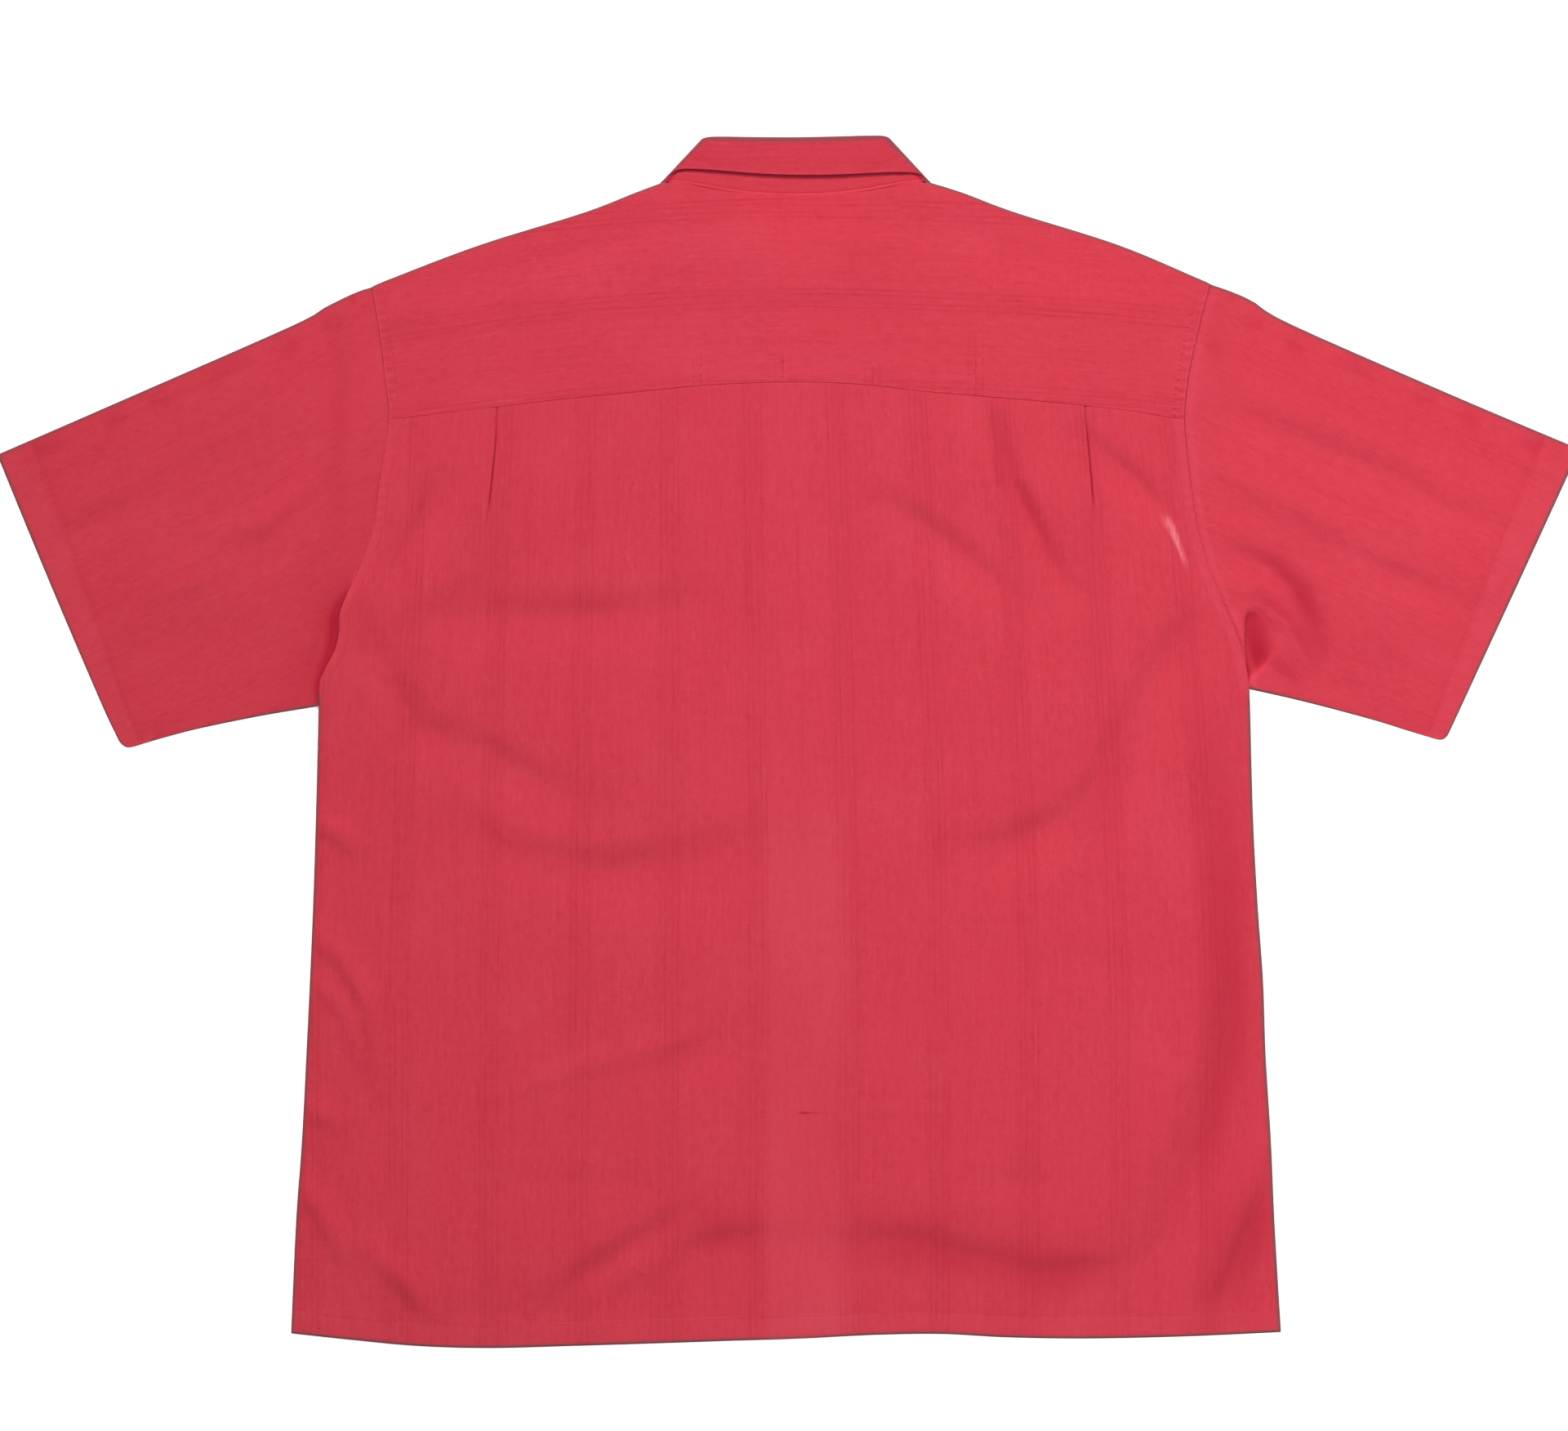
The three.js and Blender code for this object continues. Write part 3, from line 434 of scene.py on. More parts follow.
# The back's pale middle, its darker right side, a rubbed mark and a pulled thread.
def backMarks(blend, noise, acrossWarp, alongWarp, colour):
    low, high, soft = paleBand["from"], paleBand["to"], paleBand["soft"]
    band = acrossWarp.ramp(low - soft, low + 2) * acrossWarp.ramp(high + soft, high - soft)
    patches = noise(90.0, 150.0, 15.0, 1.0, 0.4).ramp(0.3, 0.7, 0.06, 0.2)
    patches = patches * alongWarp.ramp(-20.0, -110.0, 0.35, 1.0)
    colour = blend(colour, fromHex(dobby["pale"]), band * patches)

    start, soft = darkBand["from"], darkBand["soft"]
    edge = acrossWarp.ramp(start - soft, start + soft) * acrossWarp.ramp(darkBand["to"], start + 14, 0.4, 1.0)
    edge = edge * alongWarp.ramp(110.0, 10.0, 0.0, darkBand["strength"])
    colour = blend(colour, fromHex(dobby["line"]), edge)

    (x1, y1), (x2, y2) = stain["from"], stain["to"]
    length = math.hypot(x2 - x1, y2 - y1)
    dx, dy = (x2 - x1) / length, (y2 - y1) / length
    fromX, fromY = acrossWarp - x1, alongWarp - y1
    run = fromX * dx + fromY * dy
    bow = (run * (math.pi / length)).maths("SINE") * stain["bend"]
    off = abs(fromX * dy - fromY * dx + bow)
    ends = run.ramp(-3.0, 9.0) * run.ramp(length + 3, length - 16)
    patchy = noise(1.3, 12.0, 12.0, 3.0, 0.6).ramp(0.32, 0.64, 0.25, 1.0)
    width = run.ramp(length * 0.2, length * 0.6, stain["width"], stain["width"] * 0.6)
    mark = (off / width).ramp(1.0, 0.0) * ends * patchy
    colour = blend(colour, fromHex(stain["colour"]), mark * 0.8)

    sx, sy = snag["at"]
    squares = [((run - at) / size).maths("POWER", 2.0)
               for run, at, size in zip((acrossWarp, alongWarp), snag["at"], snag["size"])]
    colour = blend(colour, fromHex(dobby["line"]), (squares[0] + squares[1]).ramp(1.2, 0.2, 0.0, 0.6))
    tail = acrossWarp.ramp(sx, sx + 3) * acrossWarp.ramp(snag["tailTo"], sx + 8)
    tail = abs(alongWarp - sy).ramp(0.9, 0.3) * tail
    return blend(colour, fromHex(dobby["line"]), tail * 0.35)


throughYoke = [(-60, 26, 0.26), (-4, 26, 0.22), (57.5, 18, 0.24), (128, 46, 0.26)]   # x, height, strength


# Lines of the yoke's lining that show through above the seam.
def yokeMarks(blend, noise, acrossWarp, alongWarp, colour):
    for x, tall, strength in throughYoke:
        foot = 245.0 - 0.0003 * x * x
        away = alongWarp - x
        rows = acrossWarp.ramp(foot + tall, foot + tall * 0.5)
        rows = rows * noise(1.6, 1.6, 5.0, 2.0, 0.6).ramp(0.42, 0.58)
        mark = away.maths("PINGPONG", 2.6).ramp(0.9, 0.3) * abs(away).ramp(7.0, 2.5) * rows
        colour = blend(colour, fromHex(dobby["line"]), mark * (strength * 2))
    return colour


materials = {
    "back": stripedCloth("slub_dobby_viscose_back", 41.7, 0.18, backMarks),
    "yoke": stripedCloth("slub_dobby_viscose_yoke", 303.0, 0.22, yokeMarks),
    "front": stripedCloth("slub_dobby_viscose_front", 20.0, 0.24),
    "sleeve": stripedCloth("slub_dobby_viscose_sleeve", 30.0, 0.06, slubs=0.35),
    "collar": stripedCloth("slub_dobby_viscose_collar", 52.0, 0.12, deeper=0.12),
    # Spun polyester sewing thread, dyed to match the cloth and smoother than it. IOR 1.5, rough 0.6.
    # Its twist is drawn as noise about 1 mm across; the real plies are 0.2 mm.
    "thread": plainMaterial("spun_polyester_thread",
                            {"Roughness": 0.6, "IOR": 1.5, "Specular IOR Level": 0.2},
                            {"Scale": 900.0, "Detail": 2.0}, ("#a81c30", "#cc4052")),
    # Cast polyester resin, polished: dark red with clouds about 4 mm across, under a clear gloss.
    # IOR 1.55, rough 0.22.
    "resin": plainMaterial("cast_polyester_resin",
                           {"Roughness": 0.22, "IOR": 1.55, "Coat Weight": 0.4, "Coat Roughness": 0.1},
                           {"Scale": 260.0, "Detail": 4.0, "Roughness": 0.6}, ("#6d1824", "#a23a48")),
    # Matt white backdrop paper with no texture, glowing a little so that it stays white. IOR 1.45, rough 0.9.
    "paper": plainMaterial("white_backdrop_paper", {
        "Base Color": fromHex("#fbfbfb"), "Roughness": 0.9, "IOR": 1.45, "Specular IOR Level": 0.1,
        "Emission Color": fromHex("#ffffff"), "Emission Strength": 0.5}),
}
print("materials made:", len(materials))

# Heights of the cloth's middle above the surface, from the lowest cloth up.
lay = {
    "lowest": 0.2,
    "side": 1.1,           # the back at the side seams, over the front and the seam allowance
    "armhole": 2.5,        # the back and the yoke over both layers of a sleeve
    "hem": 1.75,           # over the turned hems
    "edge": 0.45,          # rise within a few millimetres of an edge
    "loft": 2.1,           # further rise within a few centimetres of it
    "tighter": 0.4,        # less of it above the underarms
    "middle": 1.0,         # and between the pleats
    "uneven": 0.3,         # soft hills and hollows
}
pleat = {"depth": 13.0, "length": {"left": 78.0, "right": 71.0}, "turn": (0.25, 0.37), "fade": 60.0,
         "left": (-198.9, -0.03, -0.0009), "right": (202.4, 0.095, 0.0),   # x at the yoke, lean, bend
         "settle": 26.0}   # how far beside it the cloth takes to come down again
# Folds as (path, width to each side, rise). A trough's dark side or a ridge's top lies on its path.
bodyCreases = [
    ([(-256, 90), (-205, 97), (-150, 94), (-115, 96), (-58, 104)], 15, -2.5),
    ([(-240, 93), (-192, 96)], 15, -1.4), ([(-238, 103), (-202, 116)], 8, -1.4),
    ([(-150, 94), (-118, 95)], 12, -1.0),
    ([(-236, 64), (-150, 58), (-84, 66)], 24, 0.9),
    ([(-298, 96), (-274, 50), (-254, 17), (-226, 4)], 11, -4.2),
    ([(-312, 76), (-290, 36), (-268, 6)], 10, 1.5),
    ([(-232, 15), (-194, -8), (-140, -36)], 14, -2.5), ([(-214, 3), (-176, -20)], 12, -1.2),
    ([(-226, -40), (-200, -68), (-164, -73), (-120, -80), (-61, -69), (-20, -58)], 15, -2.3),
    ([(-146, -78), (-96, -78)], 13, -1.5), ([(-220, -50), (-194, -70)], 11, -1.4),
    ([(-204, -247), (-120, -219), (-40, -200)], 5.0, 1.0),
    ([(-98, -222), (-36, -190)], 11, -1.3),
    ([(-204, -295), (-72, -298)], 8, -0.7),
    ([(-156, -372), (-131, -353), (-68, -316)], 12, -3.6), ([(-150, -368), (-122, -348)], 11, -1.5),
    ([(-142, -382), (-108, -364), (-64, -350)], 10, 1.6),
    ([(-96, -364), (-75, -346), (-53, -339), (-9, -339), (34, -348)], 17, -3.4),
    ([(-70, -342), (-24, -338)], 15, -1.5),
    ([(24, -342), (73, -364), (104, -376)], 13, -2.6),
    ([(18, -341), (58, -336), (103, -343), (140, -352), (177, -366), (214, -362), (270, -326)], 25, -3.8),
    ([(164, -364), (224, -361)], 22, -3.0), ([(46, -337), (114, -345)], 22, -2.8),
    ([(290, 104), (259, 68), (240, 35), (225, 5), (214, -32), (210, -84)], 15, -3.0),
    ([(276, 90), (250, 54)], 12, -1.4), ([(228, 10), (216, -24)], 12, -1.4),
    ([(226, -10), (184, -46), (147, -63), (108, -66)], 14, -2.3), ([(180, -52), (146, -66)], 12, -1.2),
    ([(64, 172), (103, 147), (132, 124), (154, 102)], 11, -3.0),
    ([(142, 224), (151, 184), (166, 154), (190, 108)], 6.5, -6.0),
    ([(130, 208), (139, 178), (153, 146), (174, 112)], 8, 2.2),
    ([(160, 210), (176, 162), (196, 128)], 9, 1.2),
    ([(200, 216), (236, 184), (264, 156)], 9, -3.0),
    ([(-240, 186), (-250, 162), (-266, 130)], 9, -2.2),
    ([(182, -139), (231, -147)], 9, -0.8), ([(138, -291), (186, -296)], 9, -0.8),
    ([(-240, 316), (-160, 338), (-74, 361)], 14, -0.8),
    ([(62, 368), (117, 354), (214, 322)], 14, -0.8),
]
edgeCreases = [            # close to the side seams
    ([(-334, -56), (-314, -62), (-294, -76)], 5, 2.8),
    ([(-337, -126), (-308, -148), (-288, -182), (-278, -244)], 6, 3.6),
    ([(-332, -160), (-306, -186), (-292, -226)], 5, 2.2),
    ([(-336, -252), (-306, -264)], 5, 2.0),
    ([(-342, -302), (-322, -322), (-306, -354)], 6, 3.2),
    ([(-286, -350), (-264, -371), (-244, -396)], 7, 3.0),
    ([(268, -20), (276, -69), (280, -121), (286, -170), (278, -215), (258, -268), (228, -320)], 15, 1.9),
    ([(286, -20), (298, -69), (303, -121), (309, -173), (303, -217), (284, -270), (250, -332)], 15, -2.3),
    ([(322, -292), (304, -336), (280, -396)], 12, 2.4),
    ([(334, -296), (320, -332), (304, -366)], 16, -2.8),
]
sleeveCreases = {
    "left": [([(-306, 288), (-309, 250), (-310, 200)], 12, -1.2),
             ([(-398, 140), (-362, 146), (-336, 168), (-322, 180)], 8, 1.5),
             ([(-400, 126), (-372, 131), (-350, 145)], 9, -0.7),
             ([(-438, 97), (-414, 105), (-388, 116)], 9, 1.3),
             ([(-500, 147), (-480, 154), (-448, 170), (-432, 178)], 10, -1.2),
             ([(-440, 190), (-400, 205), (-360, 226)], 14, 0.8),
             ([(-330, 60), (-380, 84), (-440, 76)], 20, -1.2)],
    "right": [([(290, 240), (316, 227), (350, 214), (380, 201), (417, 187), (442, 168), (478, 156)],
               10, -2.0),
              ([(422, 187), (445, 168)], 8, -0.8),
              ([(284, 184), (302, 173), (344, 156), (394, 128), (428, 114), (462, 102)], 10, -1.8),
              ([(304, 134), (330, 122), (347, 106), (358, 85), (367, 62), (373, 46)], 10, -3.8),
              ([(326, 164), (372, 140), (394, 108), (404, 66)], 16, 2.0),
              ([(322, 114), (340, 100), (350, 82), (357, 62)], 6, 0.8),
              ([(330, 262), (430, 222), (525, 182)], 14, -0.6)],
}
bodyShades = [             # painted shade inside the broadest folds, as (path, width, strength)
    ([(-78, -346), (-44, -342), (-8, -344)], 16, 0.3), ([(26, -348), (88, -354), (142, -358)], 22, 0.34),
    ([(138, -364), (185, -370), (228, -360)], 22, 0.38),
    ([(297, 0), (300, -80), (303, -170), (300, -230), (282, -285), (256, -326)], 17, 0.34),
    ([(328, -296), (318, -340), (302, -388)], 19, 0.42),
    ([(147, 208), (160, 170), (187, 118)], 5, 0.2), ([(64, 172), (103, 147), (150, 106)], 6, 0.1),
]
# Painted shade inside the sleeves' folds, as (path, width, strength).
sleeveShades = {
    "left": [([(-304, 290), (-307, 250), (-307, 214), (-312, 184), (-307, 140)], 9, 0.2),
             ([(-500, 147), (-480, 154), (-460, 163)], 8, 0.16)],
    "right": [([(314, 132), (333, 121), (348, 105), (359, 85), (369, 60)], 8, 0.44),
              ([(314, 110), (333, 92), (349, 72), (360, 52)], 4, 0.4),
              ([(326, 58), (338, 48), (352, 39)], 5, 0.42),
              ([(282, 281), (290, 268), (298, 256)], 7, 0.3)],
}
underarmFolds = {          # close to the armhole's foot
    "left": [([(-306, 112), (-315, 86), (-324, 58), (-330, 34)], 9, -1.2),
             ([(-312, 196), (-326, 140), (-344, 84), (-350, 40)], 20, 1.8)],
    "right": [([(308, 104), (322, 104), (335, 93), (345, 74), (354, 52)], 8, 2.4),
              ([(300, 92), (306, 70), (312, 52)], 9, 1.2)],
}
pocket = {                 # a tuck under the right armhole, with a sharp left side and a soft right one
    "depth": 5.2, "y": (41, 46, 52, 60, 68, 76, 81, 85, 88, 90),
    "left": (313.6, 313.6, 313.6, 313.6, 313.6, 313.6, 313.6, 313.9, 315.4, 318.6),
    "right": (316.5, 321, 327, 332, 334, 333, 331, 328.5, 325.4, 321.4)}
frontCreases = [           # on the side that faces down
    ([(-268, -330), (-232, -190), (-196, -60)], 17, 0.9), ([(-92, 160), (-128, 40), (-104, -110)], 14, 0.8),
    ([(-286, 60), (-210, 10), (-130, 26)], 15, 0.9), ([(264, -300), (240, -160), (198, -40)], 16, 1.0),
    ([(96, 130), (132, 10), (104, -150)], 14, 0.8), ([(276, 84), (214, 24), (142, 8)], 15, 0.8),
    ([(64, -352), (140, -320), (236, -338)], 13, 0.7), ([(-60, -350), (-132, -326), (-230, -350)], 13, 0.7),
]


def acrossPocket(x, y):   # 0 at its left side and 1 at its right one
    left, right = (np.interp(y, pocket["y"], pocket[key]) for key in ("left", "right"))
    return (x - left) / (right - left)


def sleevePocket(x, y):
    foot, top = pocket["y"][0], pocket["y"][-1]
    across = acrossPocket(x, y)
    ends = ease(foot, foot + 8, y) * ease(top + 1, top - 2, y)
    return -pocket["depth"] * ease(-0.07, 0.05, across) * ease(1.2, 0.35, across) * ends


def pocketShade(x, y):   # painted shade, deepest at its left side and its foot, less a painted highlight on its right lip
    foot, top = pocket["y"][0], pocket["y"][-1]
    across = acrossPocket(x, y)
    ends = ease(foot - 2, foot + 6, y) * ease(top + 0.5, top - 2, y)
    inside = ease(-0.1, 0.06, across) * ease(1.3, 0.3, across)
    lipHighlight = 0.3 * hump(across - 1.45, 0.3) * ease(70, 84, y) * ease(98, 92, y)
    return mix(0.72, 1.0, ease(80, 56, y)) * inside * ends - lipHighlight


def hemRise(fromHem):   # 1 over the turned hem, 0 above it
    return ease(22, 14, fromHem)


def onLap(x):   # 1 where one front laps over the other
    return ease(24, 18, np.abs(x - shirt["centre"]))


overCollar = {"rise": 1.0, "out": (138, 113), "y": (228, 250)}   # the fronts lie on the collar's points
overButtons = {"rise": 2.0, "out": (58, 18), "y": (345, 310)}    # and on the row of buttons


def frontLift(x, y):   # the front's height over what lies under it
    out = np.abs(x - shirt["centre"])
    collar, buttons = (lift["rise"] * ease(*lift["out"], out) * ease(*lift["y"], y)
                       for lift in (overCollar, overButtons))
    folds = creases(frontCreases, x, y) * ease(60, 84, out) * ease(0, 60, y - hemY(x))
    return np.maximum(collar, buttons) + folds


def leftUnderarm(x, y, fromSide):   # the back's edge stands up in a roll over the sleeve
    sharp = mix(0.9, 7.0, ease(94, 124, y))
    roll = (1 - np.exp(-fromSide / sharp)) * np.exp(-fromSide / 38) * (x < 0)
    return roll * (2.0 * hump(y - 64, 32) + 1.4 * ease(235, 180, y) * ease(70, 110, y))


def upperCloth(x, y, fromSide):   # the back and the yoke, without the pleats' own steps
    overSleeve = ease(shirt["underarmY"] - 90, shirt["underarmY"] + 10, y) * ease(130, 10, fromSide)
    level = mix(lay["side"], lay["armhole"], np.maximum(overSleeve, ease(60, 225, y)))
    level = np.maximum(level, mix(lay["side"], lay["hem"], hemRise(y - hemY(x))))
    edge = np.where(x < 0, mix(1.5, 9.0, ease(94, 124, y) * ease(230, 200, y)), 1.5)
    loft = lay["loft"] - lay["tighter"] * ease(20, 60, y)
    rise = lay["edge"] * (1 - np.exp(-fromSide / edge)) + loft * ease(0, 62, fromSide)
    rise = rise * ease(-6, 60, y - hemY(x)) + leftUnderarm(x, y, fromSide)
    folds = creases(bodyCreases, x, y) * ease(1, 30, fromSide)
    folds = folds + creases(edgeCreases, x, y) * ease(0, 5, fromSide)
    puff = lay["middle"] * ease(215, 190, np.abs(x)) * ease(-405, -345, y)
    z = level + rise + folds + puff + lay["uneven"] * softNoise(x, y, 110, 3) * ease(0, 50, fromSide)
    front = lay["lowest"] + shirt["ply"] + frontLift(x, y) + shirt["ply"] * onLap(x)
    return smoothMax(z, front + 0.3, 0.6)


def pleatLine(side, y):   # x of the pleat's fold, and how far below the yoke it is
    x, lean, bend = pleat[side]
    length = pleat["length"][side]
    below = np.maximum(yokeY(x) - y, 0)
    shown = np.minimum(below, length * 1.3)
    return x + lean * shown + bend * shown ** 2, below


paintedShading = {
    "edgeShadeReach": 1.9,       # how far in from an outermost edge shade is painted
    "pressed": 0.2,        # painted shade in the troughs that run along the light
}
# Puckers: height, from the edge to their middle, reach, then the waves' pitch, sway and bend.
puckers = {
    "armhole": (0.24, 3, 4, 7.3, 1.3, 11), "hem": (0.13, 10, 7, 9.1, 1, 17),
    "yoke": (0.2, 3.5, 4, 6.7, 1.2, 9), "cuff": (0.10, 21, 5, 8.7, 1, 13),
}
# Grooves under the rows of stitches: depth and reach.
grooves = {"armhole": (0.08, 1.6), "hem": (0.14, 1.3), "yoke": (0.16, 1.2), "cuff": (0.14, 1.3)}


def edgeShadeAt(distance):   # how much shade is painted near an outermost edge
    return hump(distance, paintedShading["edgeShadeReach"])


def pressedAt(x, y, *tables):   # painted shade inside folds, 0 or less
    troughs = sum(creases(table, x, y, True) for table in tables)
    return paintedShading["pressed"] * np.clip(troughs / 3, -1, 0)


def puckerAt(name, run, fromEdge):
    height, middle, reach, pitch, sway, bend = puckers[name]
    return height * waves(run, pitch, sway, bend) * hump(fromEdge - middle, reach)


def grooveAt(name, fromRow):
    depth, reach = grooves[name]
    return depth * hump(fromRow, reach)


allowance = np.array([7.0, 3.5, 1.2, 0.4])       # distances from an edge of the cloth turned in behind it
gather = {"most": 0.0664, "from": -215.0, "over": 385.0, "about": -77.0}   # how the stripes close up


backPanel = {
    "height": 640.0,
    "hemRows": (15.0, 11.0, 7.0, 3.0, 1.0, 0.35),   # rows of the turned-up hem, down to its fold
    "topRows": (0.6, 0.25, 0),   # rows next to the yoke's edge, and one more under the yoke
    "underYoke": 5.0,
    "overSeam": 0.5,             # rise of the pressed cloth below the yoke
    "besidePleat": 0.45,         # and beside a pleat, as a share of the pleat's own height
    "hemPale": 0.36,
}


def makeBack():
    height = backPanel["height"]
    turned = np.array(backPanel["hemRows"])
    hemShare = shirt["hem"] / height
    plain = spread(150, [(0.0, 0.006, 6), (hemShare, 0.006, 3), (1.0, 0.01, 3), (0.9, 0.04, 1.8)])
    plain = np.concatenate([plain[:-1], 1 - np.array(backPanel["topRows"]) / height])
    rowShare = np.concatenate([turned / height, plain, [1 + backPanel["underYoke"] / height]])
    rowTurned = np.concatenate([np.ones(len(turned)), [0.5], np.zeros(len(plain))])
    rowSign = np.where(rowTurned > 0.6, -1.0, 1.0)
    sideShares = spread(74, [(0.0, 0.02, 8), (0.045, 0.06, 3), (0.92, 0.07, 6)])
    middleShares = spread(120, [(0.0, 0.008, 4), (1.0, 0.008, 4)])
    profile = np.linspace(0, 1, 11)
    around = profile[:5] / profile[4] * math.pi
    rows = {"x": [], "y": [], "z": [], "clothX": [], "clothY": [], "seam": [], "edgeShade": []}
    for v, inside, sign in zip(rowShare, rowTurned, rowSign):
        ends = {side: bodyX(side, mix(hemY(hemRows[end][0]), yokeY(yokeRows[end][0]), v))
                for side, end in rowEnd.items()}

        def rowY(x):
            u = (x - ends["left"]) / (ends["right"] - ends["left"])
            hemX, yokeX = (mix(line[0][0], line[-1][0], u) for line in (hemRows, yokeRows))
            return mix(hemY(hemX), yokeY(yokeX), v)

        def level(x):
            return upperCloth(x, rowY(x), np.minimum(x - ends["left"], ends["right"] - x))

        folds = {}
        for side, way in signs.items():
            edgeX, below = pleatLine(side, rowY(pleat[side][0]))
            length = pleat["length"][side]
            depth = pleat["depth"] * np.clip(1 - below / length, 0, 1) ** 0.9
            opened = ease(0.62, 1.12, below / length)
            turn = mix(*pleat["turn"], ease(5, 60, below))
            step = 4 * turn * (1 - ease(0, pleat["fade"], below - 0.75 * length))
            low = level(edgeX)
            r = step / 4
            reach = max(depth, 2 * r)
            foldedX = np.concatenate([edgeX - way * r * (1 - np.sin(around)), [edgeX - way * reach / 2],
                                      edgeX - way * (reach - r + r * np.sin(around))])
            foldedZ = np.concatenate([low + 3 * r + r * np.cos(around), [low + 2 * r],
                                      low + r + r * np.cos(around)])
            openX = edgeX + way * mix(-3.0, 3.0 + 40 * ease(1, 3, below / length), profile)
            openZ = level(openX) + step * (1 - ease(0, 1, profile))
            folds[side] = (mix(foldedX, openX, opened), mix(foldedZ, openZ, opened), step)

        def clothAcross(x):                      # the same place before the pleats drew the warp together
            drawn = gather["most"] * np.clip((rowY(x) - gather["from"]) / gather["over"], 0, 2) ** 1.6
            return (x - drawn * gather["about"]) / (1 - drawn)

        leftX, leftZ, leftStep = folds["left"]
        rightX, rightZ, rightStep = folds["right"]
        outerLeft = mix(ends["left"], leftX[-1], sideShares)[:-1]
        outerRight = mix(ends["right"], rightX[-1], sideShares)[:-1][::-1]
        middle = mix(leftX[0], rightX[0], middleShares)[1:-1]
        x = np.concatenate([ends["left"] + allowance, outerLeft, leftX[::-1], middle, rightX, outerRight,
                            ends["right"] - allowance])
        y = rowY(x)
        shown = np.zeros(len(x) - 2 * len(allowance))
        beside = np.concatenate([allowance, shown, allowance[::-1]])
        z = level(x)
        middleZ = level(middle) + leftStep * np.exp(-(middle - leftX[0]) / pleat["settle"]) \
            + rightStep * np.exp(-(rightX[0] - middle) / pleat["settle"])
        start = len(allowance) + len(outerLeft)
        for part in (leftZ[::-1], middleZ, rightZ):
            z[start:start + len(part)] = part
            start += len(part)
        clothX = clothAcross(x) + np.concatenate([-2 * allowance, shown, 2 * allowance[::-1]])
        fromHem = v * height
        deep = np.zeros_like(x)
        for side, way in signs.items():   # beside the fold the cloth is pushed up, with a narrow gap, and shade is painted along it
            edgeX, below = pleatLine(side, rowY(pleat[side][0]))
            out = way * (x - edgeX)
            dark = mix(0.55, 0.85, ease(4, 30, below)) * ease(1.2, 0.74, below / pleat["length"][side])
            deep += dark * hump(out - 0.3, mix(0.6, 1.0, ease(5, 40, below))) * ease(-0.8, 0.0, out)
            gap = 1 - ease(0, 30, below - pleat["length"][side])
            pushed = backPanel["besidePleat"] * folds[side][2] * gap
            z = z + pushed * ease(0.25, 1.5, out) * np.exp(-np.maximum(out, 0) / 45)
        under = yokeY(x) - y
        z = z + backPanel["overSeam"] * ease(0.02, 0.4, under) * np.exp(-np.maximum(under, 0) / 35)
        z = z - shirt["turnedIn"] * ((beside > 0) + inside)
        fromSide = np.minimum(np.abs(x - ends["left"]), np.abs(ends["right"] - x))
        armhole = ease(shirt["underarmY"], shirt["underarmY"] + 12, y)
        uneven = mix(0.5, 1, ease(-0.6, 0.6, np.sin(y / 23)))
        sewn = puckerAt("armhole", y, fromSide) * uneven - grooveAt("armhole", fromSide - shirt["seamRow"])
        fromRow = fromHem - shirt["hem"]
        z = z + sewn * armhole - grooveAt("hem", fromRow) * sign + puckerAt("hem", x, fromHem)
        # Paler along the armhole's edge, a painted highlight on the raised band out to its row of stitches,
        # and painted shade along the outermost edges below the armholes and at the hem.
        edgePale = np.where(x < 0, mix(0.5, 0.1, ease(88, 116, y)), 0.6)
        seam = edgePale * hump(fromSide, 1.6) * armhole
        edgeShade = np.maximum((1 - armhole) * edgeShadeAt(fromSide), edgeShadeAt(fromHem))
        seam = np.maximum(seam, mix(0.3, 0.5, x > 0) * ease(10, 6.5, fromSide) * armhole)
        # Painted shade along the yoke's edge and beside the pleats' folds, then in the troughs and the
        # broadest folds.
        seam = seam - 0.75 * hump(under, 0.55) * (beside == 0) - deep
        pressed = pressedAt(x, y, bodyCreases, edgeCreases)
        seam = seam + (pressed - creases(bodyShades, x, y)) * (inside < 0.6)
        # A painted highlight along the hem's row of stitches, and paler over the turned hem.
        ridgeHighlight = hump(fromRow, 0.9) * mix(0.1, 0.6, ease(-0.3, 0.6, np.sin(x / 23 + 2 * np.sin(x / 41))))
        seam = seam + (backPanel["hemPale"] * ease(1, -2, fromRow) + ridgeHighlight) * (sign > 0)
        clothY = np.full(len(x), sign * fromHem) + hemY(x)
        for key, value in zip(rows, (x, y, z, clothX, clothY, seam, edgeShade)):
            rows[key].append(value)
    grids = {key: np.array(value) for key, value in rows.items()}
    obj = makeCloth("back_panel", *grids.values())
    finishCloth(obj, "back", materials["back"])
    return obj


def stripPoint(side, share, depth):   # the yoke's strip on the front, share from armhole to neck
    fold = along(shoulderLines[side], share)
    corner = shoulderRows[side][0]
    atNeck = -signs[side] * 3.4 * depth / shirt["yokeStrip"]
    lean = mix(bodyX(side, corner[1] - depth) - corner[0], atNeck, share)
    return fold[..., 0] + lean, fold[..., 1] - depth


yokePanel = {
    "fold": 1.1,           # how far the fold at the shoulder rounds over
    "height": 110.0,
    "turnedRows": (8.0, 4.0, 1.3, 0.4),   # rows of the edge turned in along the back's seam
    "turnedHeight": 120.0,
    "over": (0.58, 0.5),   # height over the back at its edge and further up
    "bow": (0.00031, 0.00019),   # how the stripes bow, left and right of the centre
    "neckTop": 386.0,
    "stripRows": (4.0, 10.0, 17.0, 25.0, 31.0, 34.6),
}


